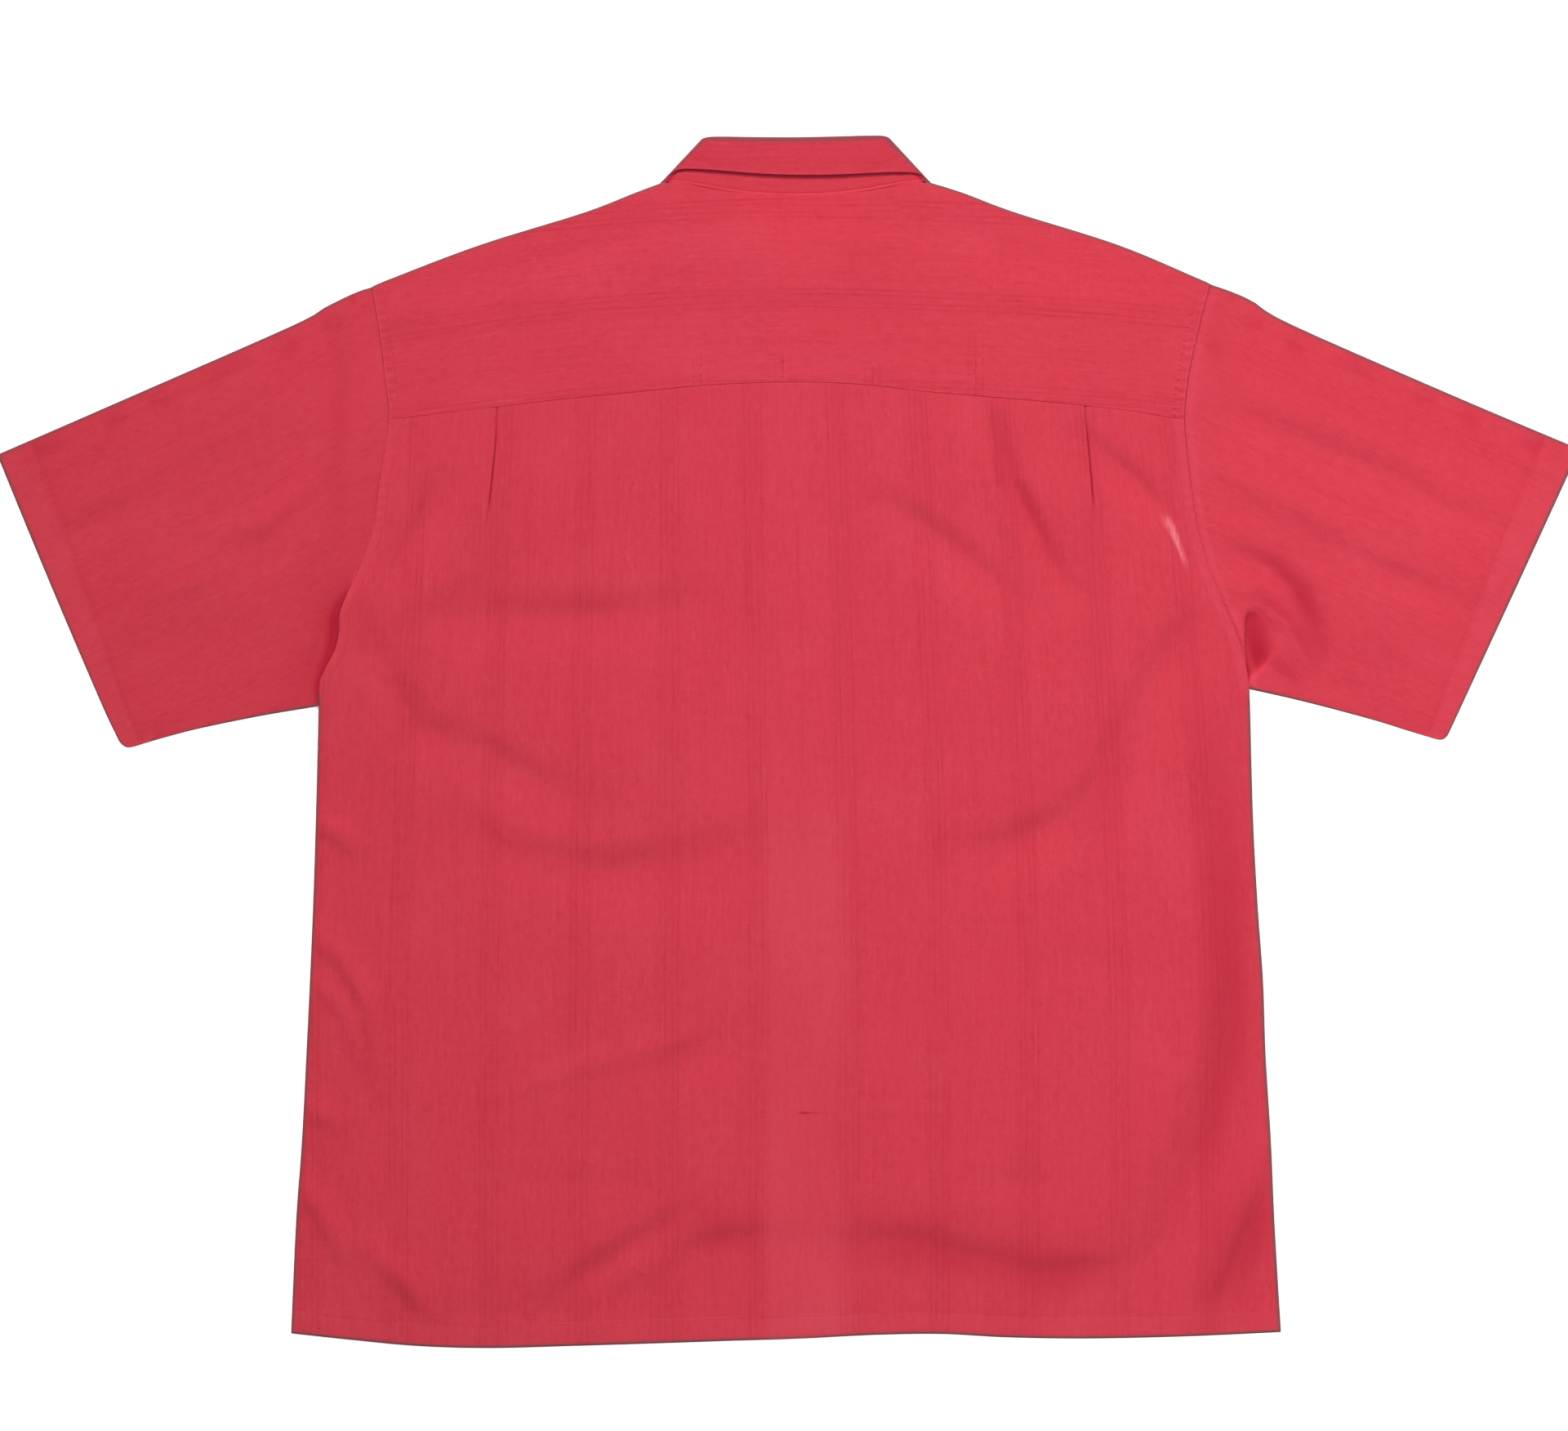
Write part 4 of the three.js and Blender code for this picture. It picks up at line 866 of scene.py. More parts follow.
def makeYoke():
    shoulderCells, neckCells = 74, 60
    parts = [shoulderLines["left"], neckLine, shoulderLines["right"]]
    top = measured(np.vstack([parts[0]["line"], parts[1]["line"][1:], parts[2]["line"][-2::-1]]))
    starts = np.cumsum([0] + [part["length"] for part in parts]) / top["length"]
    edgeFiner = spread(shoulderCells, [(0.0, 0.02, 7), (1.0, 0.03, 2)])
    u = np.concatenate([edgeFiner * starts[1], mix(starts[1], starts[2], spread(neckCells))[1:-1],
                        mix(starts[2], 1, 1 - edgeFiner[::-1])])
    bottom = measured(yokeLine)
    fold = yokePanel["fold"]
    rowsUp = spread(84, [(0.0, 0.02, 6), (1.0, 0.03, 5)]) * (1 - fold / yokePanel["height"])
    turnedRows = np.array(yokePanel["turnedRows"]) / yokePanel["turnedHeight"]
    v = np.concatenate([turnedRows, [0], rowsUp[1:]])
    turned = np.concatenate([np.ones(len(turnedRows)), [0.5], np.zeros(len(rowsUp) - 1)])
    edges = {side: bodySide(side, yokeRows[end][1], shoulderRows[side][0][1])
             for side, end in rowEnd.items()}
    x, y = between(lambda t: along(bottom, t), lambda t: along(top, t), edges["left"], edges["right"], u, v)
    sides = {side: edges[side](v)[:, :1] for side in signs}
    topX, topY = along(top, u).T
    fromLeft, fromRight = x - sides["left"], sides["right"] - x
    fromCentre = np.abs(x - shirt["centre"])
    fromTop = np.hypot(topX - x, topY - y)
    above = np.maximum(y - yokeY(x), 0)
    edge = np.minimum(np.minimum(fromLeft, fromRight), 1.2 * fromTop + 6 * ease(90, 70, fromCentre))
    z = upperCloth(x, y, np.maximum(edge, 0))
    for side, way in signs.items():
        out = way * (x - pleat[side][0])         # past the pleat, away from the middle
        shape = ease(6, 0.5, out) * np.exp(np.minimum(out, 0) / pleat["settle"]) * np.exp(-above / 24)
        z = z + 4 * pleat["turn"][0] * shape
    z = z + mix(*yokePanel["over"], ease(0, 40, above)) - shirt["turnedIn"] * turned[:, None]
    ends = np.minimum(np.abs(fromLeft), np.abs(fromRight))
    fromRow = ends - shirt["seamRow"]
    z = z + puckerAt("yoke", y, ends) - grooveAt("yoke", fromRow)
    clothX = y + np.where(x < shirt["centre"], *yokePanel["bow"]) * (x - shirt["centre"]) ** 2
    clothY = x.copy()
    seam = np.maximum(0.8 * hump(ends, 1.6), 0.3 * hump(above, 1.2))
    # Painted shade in a broken line along the neck seam.
    broken = mix(0.7, 1.1, ease(-0.5, 0.5, np.sin(x / 5.0 + 2 * np.sin(x / 13.0))))
    atNeck = (fromCentre < shirt["neckHalf"]) & (y < yokePanel["neckTop"])
    seam = seam - broken * atNeck * hump(fromTop, 0.8)
    flecks = np.sin(y * math.tau / 4.3 + 2 * np.sin(y / 3.7) + x)
    flecks = flecks * mix(0.3, 1.0, x > 0) * mix(0.4, 1, ease(300, 280, y))
    seam = seam + flecks * hump(fromRow + 1.2 * np.sin(y / 2.9), 1.5)
    # Painted shade along the shoulders' folds, but not at the neck.
    grids = [x, y, z, clothX, clothY, seam, edgeShadeAt(fromTop) * ~atNeck]

    # Over the shoulder folds and down the strips: more rows for each grid.
    isLeft = u < (starts[1] + starts[2]) / 2
    share = np.where(isLeft, np.clip(u / starts[1], 0, 1), np.clip((1 - u) / (1 - starts[2]), 0, 1))
    high, low = z[-1], lay["lowest"] + frontLift(topX, topY)
    extra = []
    for turn in np.linspace(0, math.pi, 8)[1:]:
        back = fold * (1 - math.sin(turn))
        height = (high + low) / 2 + (high - low) / 2 * math.cos(turn)
        extra.append((topX, np.minimum(topY - back, topY), height, clothX[-1] + fold * turn / 2))
    for depth in (*yokePanel["stripRows"], shirt["yokeStrip"]):
        left, right = (stripPoint(side, share, depth) for side in signs)
        px, py = (np.where(isLeft, *pair) for pair in zip(left, right))
        extra.append((px, py, lay["lowest"] + frontLift(px, py), clothX[-1] + 2 + depth))
    for n, row in enumerate(extra):
        shadedEdge = np.full(len(u), 1.0 if n < 4 else 0.0)   # painted shade on the fold's upper half
        extra[n] = (*row, clothY[-1], np.zeros(len(u)), shadedEdge)
    grids = [np.vstack([grid, *rows]) for grid, rows in zip(grids, zip(*extra))]
    foldRow = len(v) - 1

    # Seam allowance turned in along both armholes: what is added to each grid's outermost columns.
    step = allowance[None, :]
    drop = np.where(np.arange(len(grids[0])) <= foldRow + 3, -1, 1)[:, None] * shirt["turnedIn"] + 0 * step
    added = {0: (step, -step[:, ::-1]), 2: (drop, drop), 4: (-step, step[:, ::-1])}
    for n, grid in enumerate(grids):
        first, last = added.get(n, (0 * step, 0 * step))
        grids[n] = np.hstack([grid[:, :1] + first, grid, grid[:, -1:] + last])
    neckFrom = len(allowance) + shoulderCells
    neckTo = neckFrom + neckCells

    def inNeck(rows, columns):
        return rows.min() >= foldRow and columns.min() >= neckFrom and columns.max() <= neckTo

    obj = makeCloth("yoke_cloth", *grids, gone=inNeck)
    finishCloth(obj, "yoke", materials["yoke"])
    return obj


frontPanel = {
    "height": 690.0,
    "hemRows": (shirt["hem"], 9.0, 3.0, 1.0, 0.35),
    "lapRise": 0.55,       # of the right front over the left one
}


def makeFront(side):
    way = signs[side]
    lapX = shirt["centre"] - way * shirt["lapPast"]
    upTo = shirt["yokeStrip"] - shirt["tuck"]
    shares = np.linspace(0, 1, 60)
    neck = smoothLine([(shirt["centre"] + way * out, y) for out, y in frontNeckRows])
    foot = neck[-1, 1]
    top = measured(np.vstack([np.stack(stripPoint(side, shares, upTo), axis=-1), neck, [[lapX, foot]]]))
    u = spread(84, [(0.0, 0.01, 6), (1.0, 0.01, 3)])
    height = frontPanel["height"]
    turned = np.array(frontPanel["hemRows"])
    rowsUp = spread(88, [(0.0, 0.006, 6), (1.0, 0.01, 3)])
    v = np.concatenate([turned / height, rowsUp])
    inside = np.concatenate([np.ones(len(turned)), [0.5], np.zeros(len(rowsUp) - 1)])[:, None]
    hemX = hemRows[rowEnd[side]][0]
    x, y = between(lambda t: np.stack([mix(hemX, lapX, t), hemY(mix(hemX, lapX, t))], axis=-1),
                   lambda t: along(top, t), bodySide(side, hemY(hemX), shoulderRows[side][0][1] - upTo),
                   lambda t: np.stack([lapX + 0 * t, mix(hemY(lapX), foot, t)], axis=-1), u, v)
    z = lay["lowest"] + frontLift(x, y) + shirt["turnedIn"] * inside
    if side == "right":
        z = z + frontPanel["lapRise"] * onLap(x)
    stripFoot = stripPoint(side, shares, shirt["yokeStrip"])
    fromStrip = y - np.interp(x, *(line[::-way] for line in stripFoot))
    z = z + shirt["turnedIn"] * ease(-9, -1, fromStrip) * (np.abs(x - shirt["centre"]) > shirt["neckHalf"])
    fromHem = v[:, None] * height + 0 * x
    # Painted shade along the hem's edge.
    grids = [x, y, z, x, np.where(inside > 0.6, -1, 1) * fromHem, 0 * x, edgeShadeAt(fromHem)]
    step = allowance[None, :] * -way             # turned in along the armhole and the side seam
    added = {0: step, 2: shirt["turnedIn"], 3: -step}
    grids = [np.hstack([grid[:, :1] + added.get(n, 0) + 0 * step, grid]) for n, grid in enumerate(grids)]
    obj = makeCloth("front_panel_" + side, *grids)
    finishCloth(obj, "front_" + side, materials["front"])
    return obj


sleeveEdges = {side: {name: measured(smoothLine(rows)) for name, rows in table.items()}
               for side, table in sleeveRows.items()}


def sleeveSpots(side, u, v):   # u from the armhole to the cuff, v from the top fold down
    top, under, cuff = (lambda share, edge=sleeveEdges[side][name]: along(edge, share)
                        for name in ("top", "under", "cuff"))
    armhole = bodySide(side, sleeveRows[side]["top"][0][1], sleeveRows[side]["under"][0][1])
    return between(top, under, armhole, cuff, u, v)


sleevePanel = {
    "tuck": (5.0, 2.5, 0.5),     # columns of the edge that lies under the back
    "hemColumns": (0.3, 1.0, 3.0, 8.0, 15.0, 21.0, shirt["sleeveHem"]),
    "turn": 0.9,                 # how far the folds above and below round over
    "over": 0.55,                # least height of the upper layer over the lower one
    "belowBack": 0.95,           # from the back's height at the armhole down to the sleeve
    "seam": 0.47,                # how much of that is made up where the sleeve rises level with the seam
    "rise": {"left": 0.95, "right": 0.8},      # further rise right beside the seam
    "joined": {"left": 0.5, "right": 0.3},
}


def makeSleeve(side):
    way = signs[side]
    table = sleeveRows[side]
    length = sleeveEdges[side]["top"]["length"]
    out = spread(128, [(0.0, 0.02, 4), (0.08, 0.10, 3.2), (1.0, 0.004, 8), (0.9, 0.012, 2)])
    tuck, hem = np.array(sleevePanel["tuck"]), np.array(sleevePanel["hemColumns"])
    u = np.concatenate([0 * tuck, out, 1 - hem / length])
    inward = np.concatenate([tuck, np.zeros(len(u) - len(tuck))])
    inside = np.concatenate([np.zeros(len(tuck) + len(out) - 1), [0.5], np.ones(len(hem))])
    down = spread(96, [(0.0, 0.008, 10), (0.87, 0.1, 1.8), (1.0, 0.008, 8)])
    x, y = sleeveSpots(side, u, down)
    x = x - way * inward[None, :]
    fromArm = np.abs(x - bodyX(side, y)) * (inward == 0)
    chord = np.hypot(x[-1] - x[0], y[-1] - y[0])[None, :]
    fromEdge = np.minimum(down, 1 - down)[:, None] * chord
    roundness = np.sqrt(np.clip(1 - (1 - np.clip(fromEdge / sleevePanel["turn"], 0, 1)) ** 2, 0, 1))
    fromCuff = (1 - u)[None, :] * length

    # The upper layer, first free of the armhole and then joined to it.
    swell = mix(1.5, 2.3, ease(0, 0.35, u)) - 1.0 * ease(0.55, 1, u)
    free = 0.95 + swell[None, :] * np.sin(math.pi * down)[:, None] ** 0.7
    uneven = creases(sleeveCreases[side], x, y) + 0.25 * softNoise(x, y, 90, 5 + way)
    free = free + uneven * ease(0, 22, fromEdge)
    free = smoothMax(free, mix(0.75, 1.6, ease(32, 24, fromCuff)) + 0 * free, 0.3)
    level = 0.8 if side == "right" else ease(94, 118, y)      # the sleeve rises level with the seam
    beside = 1 - np.exp(-(fromArm + sleevePanel["joined"][side]) / 0.3)
    arm = sleevePanel["seam"] * level + sleevePanel["rise"][side] * level * beside * (inward == 0)
    arm = arm + lay["armhole"] - sleevePanel["belowBack"]
    folds = creases(underarmFolds[side], x, y) + (sleevePocket(x, y) if side == "right" else 0)
    upper = mix(arm, free, ease(2, 30, fromArm)) + folds * ease(0, 3, fromArm) * ease(0, 9, fromEdge)
    lower = mix(lay["lowest"] + 0.9, lay["lowest"], ease(0, 5, fromArm)) + 0 * free
    upper = smoothMax(upper, lower + sleevePanel["over"], 0.15)
    middle = (np.minimum(upper, 2.0) + lower) / 2
    upper = upper + puckerAt("cuff", fromEdge, fromCuff) - grooveAt("cuff", fromCuff - shirt["sleeveHem"])
    drop = shirt["turnedIn"] * inside[None, :]

    # Places along the weave: out from the shoulder, and away from the fold along the top.
    start, end = (np.array(table["top"][n]) for n in (3, -1))
    axis = (end - start) / np.hypot(*(end - start))
    fromX, fromY = x - start[0], y - start[1]
    outward = fromX * axis[0] + fromY * axis[1]
    fromFold = np.abs(fromX * axis[1] - fromY * axis[0])
    outward = np.where(inside[None, :] > 0.6, 2 * outward[:, -len(hem) - 1:-len(hem)] - outward, outward)

    # Painted shade along the cuff's edge and along the folds above and below.
    edgeShade = np.maximum(edgeShadeAt(fromCuff), edgeShadeAt(fromEdge)) * (inward == 0)
    # Paler over the turned cuff, with painted shade in a line just above it, then painted shade in the
    # troughs and folds.
    seam = 0.4 * ease(25, 22, fromCuff) - 0.14 * hump(fromCuff - 27, 4) + 0 * x
    seam = seam + pressedAt(x, y, sleeveCreases[side]) - creases(sleeveShades[side], x, y)
    # Painted shade in lumps along the top fold.
    lumpShade = ease(-0.9, 0.8, np.sin(outward / 7.0 + np.sin(outward / 19)))
    seam = seam - 0.32 * lumpShade * hump(fromFold - 11 - 3 * np.sin(outward / 11), 9) * ease(8, 40, fromArm)
    if side == "left":
        # Painted shade along the seam higher up, under the back's roll and across the sleeve beside the seam,
        # and painted light along the seam just above the underarm.
        seam = seam - mix(0.2, 0.85, ease(205, 235, y)) * hump(fromArm, 0.8) * ease(150, 170, y)
        underarmShade = 0.35 + 0.75 * hump(y - 76, 24)    # painted shade, deepest where the back rolls over the sleeve
        seam = seam - underarmShade * hump(fromArm, mix(2.0, 6.0, underarmShade)) * ease(112, 96, y)
        seam = seam - mix(0.26, 0.5, ease(130, 80, y)) * np.exp(-fromArm / 24) * ease(240, 170, y)
        seam = seam + 0.4 * hump(fromArm, 1.1) * ease(104, 112, y) * ease(154, 146, y)
    else:
        # A paler band beside the seam, painted shade in a broken line along it, and the pocket's painted
        # shade.
        broken = mix(0.0, 0.45, ease(-0.4, 0.7, np.sin(y / 5.0 + 1.5 * np.sin(y / 13.0))))
        seam = seam + 0.5 * hump(fromArm - 4, 3) - broken * hump(fromArm, 0.8) - pocketShade(x, y)
    faces = [mix(middle, face, roundness) for face in (upper - drop, lower + drop)]
    onward = 2 * fromFold[-1:] - fromFold        # round the lower fold and up again
    pairs = [(x, x), (y, y), faces, (fromFold, onward), (outward, outward), (seam, seam), (edgeShade, edgeShade)]
    ring = [np.vstack([above, below[-2::-1]]) for above, below in pairs]
    obj = makeCloth("sleeve_cloth_" + side, *ring)
    finishCloth(obj, "sleeve_" + side, materials["sleeve"])
    return obj


# Left half of the collar, from the centre back round the neck to its front end. Each row has turn (0 on the
# back, 1 on the front), then out from the centre and y for the sewn edge, the roll and the free edge.
collarRows = [
    (0, 0, 373.2, 0, 413.5, 0, 387.9), (0, 14, 373.3, 13, 413.6, 14, 388.0),
    (0, 28, 374.2, 26, 413.8, 28, 388.5), (0, 44, 376.0, 39, 414.1, 43, 389.5),
    (0, 60, 378.9, 49, 414.3, 58, 390.5), (0, 73, 381.6, 54.5, 414.3, 70, 391.0),
    (0.02, 83, 383.2, 58.6, 414.2, 79, 391.0), (0.1, 87.6, 383.0, 61.2, 413.6, 82.8, 389.8),
    (0.22, 90.4, 382.9, 62.1, 412.8, 85.0, 388.6), (0.36, 91.8, 382.4, 62.3, 412.4, 87.2, 387.0),
    (0.46, 92.3, 382.4, 62.3, 412.3, 89.8, 384.8), (0.54, 92.3, 382.4, 62.3, 412.3, 92.3, 382.5),
    (0.66, 92.2, 382.2, 62.1, 412.2, 94.4, 380.0), (0.85, 91.4, 380.6, 61.4, 411.4, 95.6, 377.2),
    (1, 89, 377, 60, 406, 96, 373), (1, 87, 370, 59, 399, 98.5, 366),
    (1, 84, 360, 55, 388, 103, 355), (1, 82, 348, 51, 376, 106, 342),
    (1, 68, 326, 39, 351, 106, 316), (1, 38, 309, 22, 331, 92, 285), (1, 3, 304, 3, 316, 66, 258),
]
collar = {
    "thickness": 0.9, "ply": 1.0, "tuck": 2.5,
    "foldZ": 2.2,          # height where the stand leaves the neck
    "standOff": (0.12, 0.6),   # how far the fall's free edge stands off, at its ends and at the centre
    "rollTilt": 0.007, "fallTilt": -0.016,   # rise to the right for each mm from the centre
    "roll": 1.4,           # from the middle of the roll to its outermost point
    "toYoke": 1.75,        # rise of the allowance, up to the yoke's under side
    "slantFrom": (62.3, 412.3), "slantOut": (0.705, 0.709),   # the edge from the roll down to the fall
}


def evenLine(rows, cells):   # a table's rows with steps between them, never past them
    points = np.array(rows, float)
    t = np.linspace(0, len(points) - 1, cells * (len(points) - 1) + 1)
    line = np.stack([np.interp(t, np.arange(len(points)), column) for column in points.T], axis=-1)
    wide = np.vstack([2 * line[:1] - line[cells:0:-1], line, 2 * line[-1:] - line[-2:-cells - 2:-1]])
    weights = np.hanning(2 * cells + 1)
    return np.stack([np.convolve(column, weights / weights.sum(), "valid") for column in wide.T], axis=-1)


def makeCollar():
    half = evenLine(collarRows, 8)
    sections = np.vstack([np.hstack([half[::-1], np.full((len(half), 1), -1.0)]),
                          np.hstack([half[1:], np.full((len(half) - 1, 1), 1.0)])])
    upStand = spread(30, [(0.075, 0.05, 4), (0.38, 0.12, 4)])
    overRoll = np.linspace(0, math.pi, 9)
    downFall = np.concatenate([np.linspace(0, 1, 16)[1:-1], [0.96, 0.985, 1.0]])
    rollFrom = len(upStand) - 1
    rollTo = rollFrom + len(overRoll) - 1
    columns = {n: [] for n in range(7)}
    run = 0.0
    last = None
    for turn, seamOut, seamY, rollOut, rollY, fallOut, fallY, way in sections:
        rollY = rollY + way * rollOut * collar["rollTilt"] * (1 - turn)
        fallY = fallY + way * fallOut * collar["fallTilt"] * (1 - min(3 * turn, 1))
        seam, roll, fall = (np.array([shirt["centre"] + way * out, y, 0]) for out, y in
                            ((seamOut, seamY), (rollOut, rollY), (fallOut, fallY)))
        deep = np.linalg.norm(roll - seam)
        up = (roll - seam) / deep
        lean = math.pi * np.clip(turn, 0, 1)
        outward = np.array([way * abs(up[1]), abs(up[0]), 0])
        away = outward * math.sin(lean) + np.array([0, 0, math.cos(lean)])
        base = np.array([0, 0, collar["foldZ"]])
        onBack = max(math.cos(lean), 0) ** 2
        if last is not None:
            run += np.linalg.norm(roll - last)
        last = roll
        points = []
        for t in upStand[:-1] * (1 - 1.2 / deep):
            fromNeck = t * deep - collar["tuck"]
            level = 0.3 * ease(-0.3, 0.5, fromNeck) * ease(14, 1, fromNeck) * onBack
            level += collar["toYoke"] * ease(-0.5, -2.0, fromNeck) * onBack
            level += 0.2 - 0.2 * math.sin(math.pi * t)
            points.append(seam + (roll - seam) * t + away * level + base)
        r = (collar["ply"] + 0.4) / 2
        reach = up * collar["roll"]
        centreLine = roll - reach + base + away * (0.2 + r)
        points += [centreLine + reach * math.sin(angle) - away * r * math.cos(angle) for angle in overRoll]
        over = centreLine + away * r
        for t in downFall:
            lifted = mix(*collar["standOff"], 1 - min(seamOut / 88, 1) ** 2) * t ** 1.6
            lifted = (lifted + 0.35 * math.sin(math.pi * t)) * max(onBack, 0.3 * (turn < 0.7))
            points.append(over + (fall + base - over) * np.array([1, 1, 0]) * t + away * lifted)
        points = np.array(points)
        down = np.concatenate([[0], np.cumsum(np.linalg.norm(np.diff(points, axis=0), axis=1))])
        for n in range(3):
            columns[n].append(points[:, n])
        columns[3].append(down)
        columns[4].append(np.full(len(points), run))
        # The fall's free edge is paler; shade is painted at the collar's ends, on the stand under the fall's
        # free edge, and along the roll and the slanted edges.
        shaded = ease(0.04, 0.16, turn) * ease(0.62, 0.5, turn) * ease(392.0, 389.5, points[:, 1])
        onStand = np.arange(len(points)) <= rollFrom
        aboveFall = points[:, 1] - fall[1]
        under = onBack * onStand * ease(-1.9, -0.9, aboveFall) * ease(3, 0, aboveFall)
        atRoll = edgeShadeAt(np.minimum(abs(down - down[rollFrom]), abs(down - down[rollTo])))
        atRoll[rollFrom:rollTo + 1] = 1
        outX = collar["slantFrom"][0] - way * (points[:, 0] - shirt["centre"])
        outY = collar["slantFrom"][1] - points[:, 1]
        toSlant = collar["slantOut"][0] * outX + collar["slantOut"][1] * outY
        columns[5].append(0.6 * hump(down[-1] - down, 1.5) - 1.3 * np.maximum(shaded, under))
        columns[6].append(np.maximum(atRoll, edgeShadeAt(1.5 * np.maximum(toSlant, 0))))
    grids = [np.array(columns[n]).T for n in range(7)]
    obj = makeCloth("collar_cloth", *grids)
    finishCloth(obj, "collar", materials["collar"], collar["thickness"])
    return obj


thread = {
    "length": 2.3, "thickness": 0.46, "pitch": 3.0, "sunk": 0.05,   # the stitches
    "strand": 0.5, "strandApart": 0.25, "inHole": 0.9,   # on the buttons
    "bottom": 0.2, "face": 0.22, "top": 2.6,   # heights on the buttons, from their faces
}


def threadPlace(start, end, up, thickness):   # turns and stretches a ball of size 1 into a stitch
    run = end - start
    side = up.cross(run).normalized() * thickness
    lift = run.cross(side).normalized() * thickness
    turned = Matrix((run, side, lift)).transposed().to_4x4()
    return Matrix.Translation((start + end) / 2) @ turned


def threadMesh(name, places):
    shape = bmesh.new()
    for place in places:
        bmesh.ops.create_icosphere(shape, subdivisions=2, radius=0.5, matrix=place)
    for face in shape.faces:
        face.smooth = True
    obj = shapeToObject(name, shape)
    obj.data.materials.append(materials["thread"])
    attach(obj, "root")
    return obj


def stitches(name, cloth, paths, up=1):   # rows of stitches on the cloth's upper or under side
    surface = BVHTree.FromObject(cloth, bpy.context.evaluated_depsgraph_get())
    places = []
    for path in paths:
        line = measured(np.array(path, float))
        count = int(line["length"] / thread["pitch"])
        middles = (np.arange(count) + 0.5) * thread["pitch"]
        for run in middles:
            ends = along(line, (run + np.array([-0.5, 0.5]) * thread["length"]) / line["length"]) * mm
            hits = [surface.ray_cast(Vector((x, y, 0.05 * up)), Vector((0, 0, -up)))[0] for x, y in ends]
            if None not in hits:
                sunk = Vector((0, 0, -thread["sunk"] * up * mm))
                places.append(threadPlace(hits[0] + sunk, hits[1] + sunk, Vector((0, 0, 1)),
                                          thread["thickness"] * mm))
    return threadMesh(name, places)


def besideArmhole(side, low, high):
    y = np.linspace(low, high, 60)
    return np.stack([bodyX(side, y) - signs[side] * shirt["seamRow"], y], axis=-1)


def aboveHem(low, high):
    x = np.linspace(low, high, 120)
    return np.stack([x, hemY(x) + shirt["hem"]], axis=-1)


def aboveCuff(side):
    spots = sleeveSpots(side, np.array([1 - shirt["sleeveHem"] / sleeveEdges[side]["top"]["length"]]),
                        np.linspace(0.02, 0.98, 60))
    return np.stack([spots[0][:, 0], spots[1][:, 0]], axis=-1)


button = {
    "count": 5, "first": 268.0, "spacing": 115.0,   # down the closure
    "radius": 5.75, "dish": 4.3, "hole": 0.85, "apart": 1.45,
}
buttonHoles = [(button["apart"] * x, button["apart"] * y) for x in (-1, 1) for y in (-1, 1)]


def buttonAt(number):
    return Vector((shirt["centre"], button["first"] - button["spacing"] * (number - 1), 0)) * mm


def buttonShape(number):   # a turned disc, dished on its face, with four holes
    profile = [(0, 0.35), (button["dish"] - 0.6, 0.35), (button["dish"], 0.08), (button["dish"] + 0.3, 0),
               (5.2, 0.0), (5.62, 0.2), (button["radius"], 0.6), (button["radius"], 1.2), (5.55, 1.62),
               (5.1, 1.8), (0, 1.8)]
    shape = bmesh.new()
    verts = [shape.verts.new((r * mm, 0, z * mm)) for r, z in profile]
    edges = [shape.edges.new(pair) for pair in zip(verts, verts[1:])]
    bmesh.ops.spin(shape, geom=verts + edges, cent=(0, 0, 0), axis=(0, 0, 1), angle=math.tau, steps=48,
                   use_merge=True)
    bmesh.ops.remove_doubles(shape, verts=shape.verts, dist=1e-6)
    bmesh.ops.recalc_face_normals(shape, faces=shape.faces)
    for face in shape.faces:
        face.smooth = True
    drills = bmesh.new()
    for x, y in buttonHoles:
        bmesh.ops.create_cone(drills, cap_ends=True, segments=20, radius1=button["hole"] * mm,
                              radius2=button["hole"] * mm, depth=6 * mm,
                              matrix=Matrix.Translation(Vector((x, y, 0)) * mm))
    for form in (shape, drills):
        bmesh.ops.translate(form, verts=form.verts, vec=buttonAt(number))
    obj, drill = shapeToObject("button_disc_%d" % number, shape), shapeToObject("drills", drills)
    cut = obj.modifiers.new("holes", "BOOLEAN")
    cut.object = drill
    cut.operation = "DIFFERENCE"
    cut.solver = "EXACT"
    pierced = bpy.data.meshes.new_from_object(obj.evaluated_get(bpy.context.evaluated_depsgraph_get()))
    obj.modifiers.clear()
    obj.data = pierced
    bpy.data.objects.remove(drill)
    obj.data.materials.append(materials["resin"])
    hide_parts("button_%d" % number)
    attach(obj, "root")


def buttonThread(number):   # strands across the face and down each hole
    at = buttonAt(number)
    places = []
    for x, y in buttonHoles:
        foot = at + Vector((x, y, 0)) * mm
        start, end = (foot + Vector((0, 0, thread[key] * mm)) for key in ("bottom", "top"))
        places.append(threadPlace(start, end, Vector((0, 1, 0)), thread["inHole"] * mm))
    reach = button["apart"] + 0.5
    for y in (-1, 1):
        for beside in (-thread["strandApart"], thread["strandApart"]):
            row = button["apart"] * y + beside
            start, end = (at + Vector((out, row, thread["face"])) * mm for out in (-reach, reach))
            places.append(threadPlace(start, end, Vector((0, 0, 1)), thread["strand"] * mm))
    return places


back = makeBack()
print("back made")
yoke = makeYoke()
print("yoke made")
fronts = {side: makeFront(side) for side in signs}
sleeves = {side: makeSleeve(side) for side in signs}
print("fronts and sleeves made")
collarCloth = makeCollar()
numbers = range(1, button["count"] + 1)
for number in numbers:
    buttonShape(number)
threadMesh("button_thread", [place for number in numbers for place in buttonThread(number)])
print("collar and buttons made")

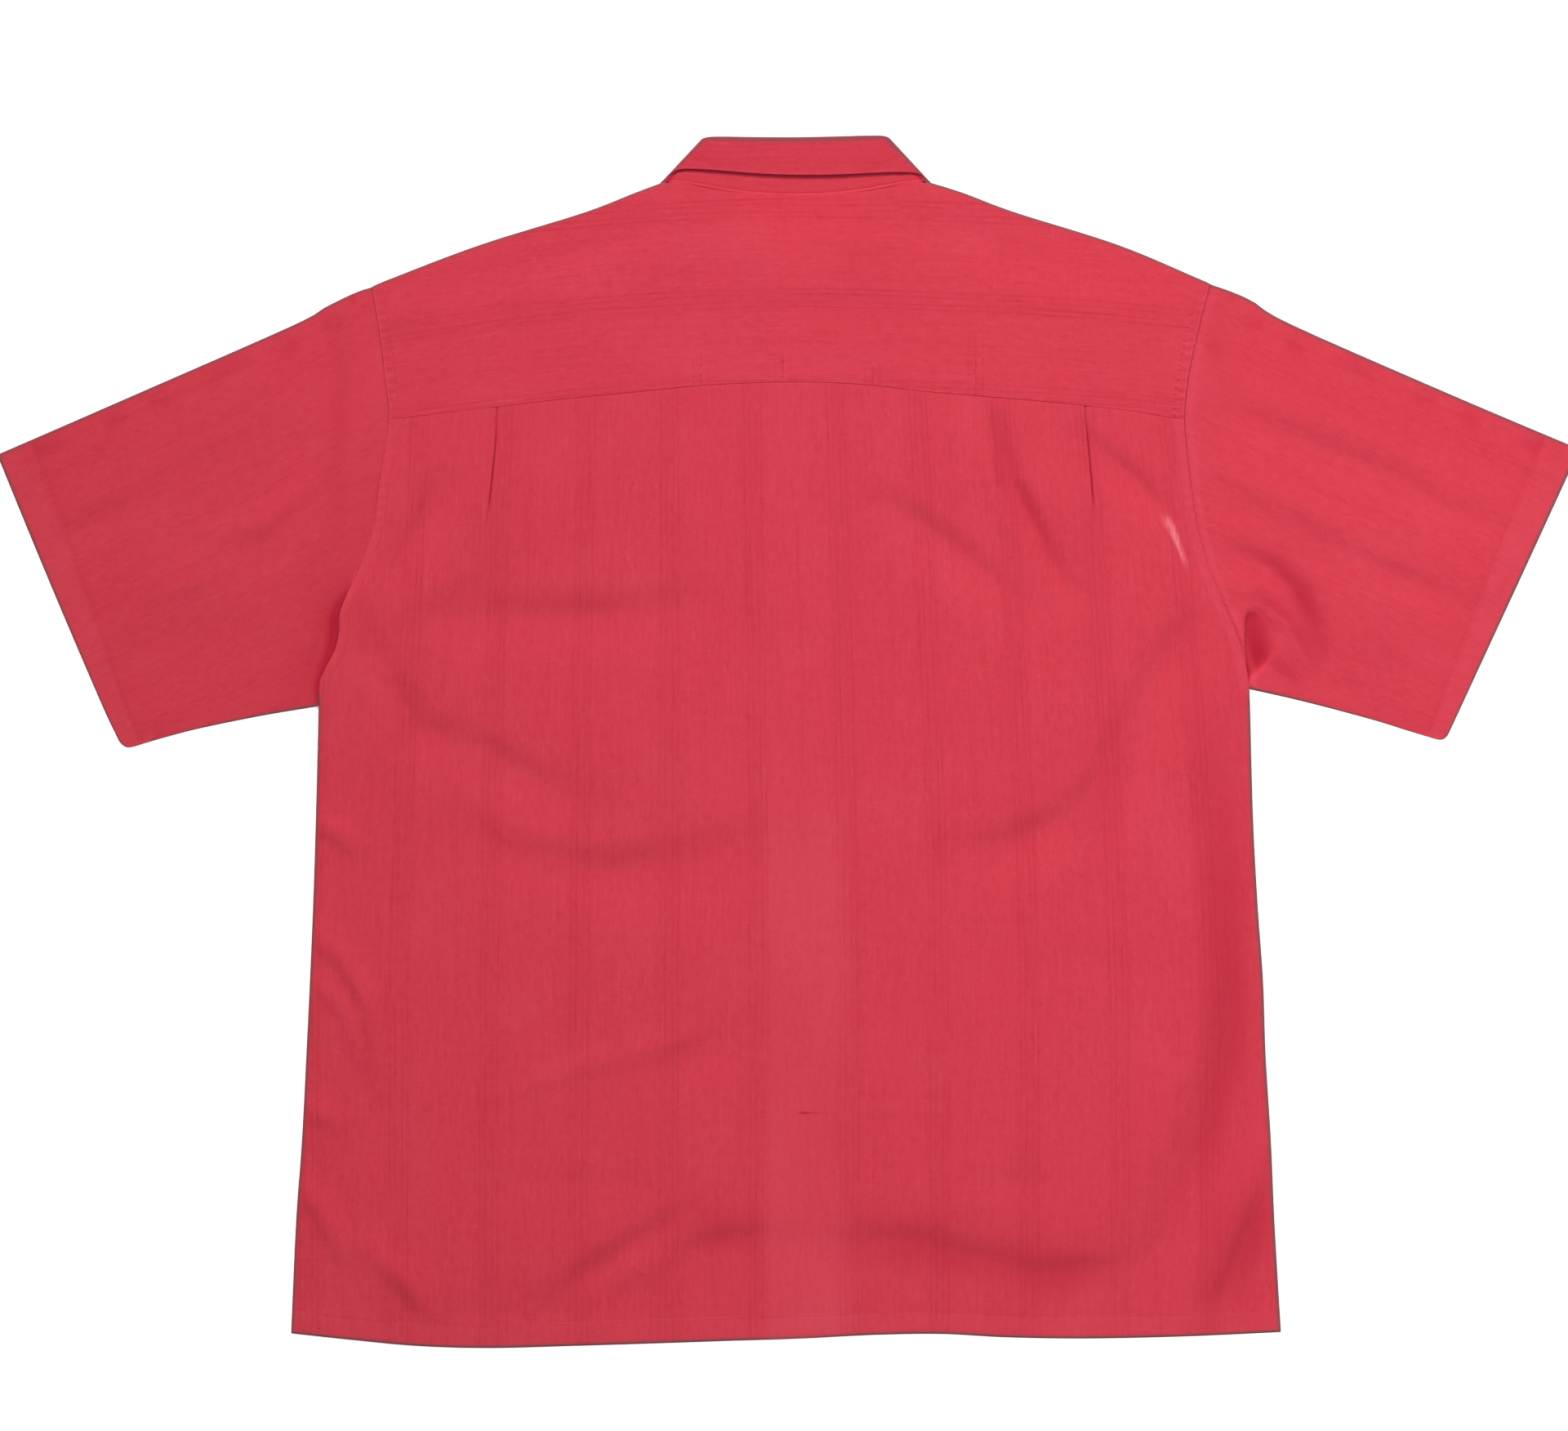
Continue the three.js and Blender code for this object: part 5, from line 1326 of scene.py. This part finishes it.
stitched = {              # from and to: x along the hems, y along the armholes
    "hem": (-331, 328), "front_left": (-331, 18), "front_right": (-8, 328),
    "back": (36, 216), "yoke": (226, 305),
}
backPaths = [aboveHem(*stitched["hem"])] + [besideArmhole(side, *stitched["back"]) for side in signs]
rows = {
    "back": stitches("back_stitches", back, backPaths),
    "yoke": stitches("yoke_stitches", yoke, [besideArmhole(side, *stitched["yoke"]) for side in signs]),
}
for side in signs:
    frontPath = aboveHem(*stitched["front_" + side])
    rows["front_" + side] = stitches("front_stitches_" + side, fronts[side], [frontPath], -1)
    rows["sleeve_" + side] = stitches("sleeve_stitches_" + side, sleeves[side], [aboveCuff(side)])
print("stitches made")
studio = {"floor": 6.0, "distance": 3.0, "lens": 100.4, "look": (-3.1, 17.6), "daylight": 0.33}
lamps = {
    "key": {"place": (-1.9, 4.65, 3.2), "aim": (0.66, -0.04, 0), "size": 1.3, "power": 21.6,
            "spread": 45.0},
    "fill": {"place": (2.0, 0.0, 3.1), "aim": (0, 0, 0), "size": 1.1, "power": 50, "spread": 180.0},
}
floorShape = bmesh.new()
bmesh.ops.create_grid(floorShape, x_segments=1, y_segments=1, size=studio["floor"])
floor = shapeToObject("floor", floorShape)
floor.data.materials.append(materials["paper"])


def place(name, data, spot):   # a camera or a lamp as an object of the scene
    obj = bpy.data.objects.new(name, data)
    obj.location = spot
    bpy.context.scene.collection.objects.link(obj)
    return obj


cameraData = bpy.data.cameras.new("camera")
cameraData.lens = studio["lens"]
lookX, lookY = studio["look"]
bpy.context.scene.camera = place("camera", cameraData, (lookX * mm, lookY * mm, studio["distance"]))
for name, lamp in lamps.items():
    light = bpy.data.lights.new(name, "AREA")
    light.shape = "DISK"
    light.size = lamp["size"]
    light.energy = lamp["power"]
    light.spread = math.radians(lamp["spread"])
    towards = Vector(lamp["aim"]) - Vector(lamp["place"])
    place(name, light, lamp["place"]).rotation_euler = towards.to_track_quat("-Z", "Y").to_euler()

world = bpy.data.worlds.new("studio")
bpy.context.scene.world = world
world.use_nodes = True
sky = world.node_tree.nodes["Background"].inputs
sky["Color"].default_value = fromHex("#ffffff")
sky["Strength"].default_value = studio["daylight"]
bpy.context.scene.view_settings.view_transform = "Standard"
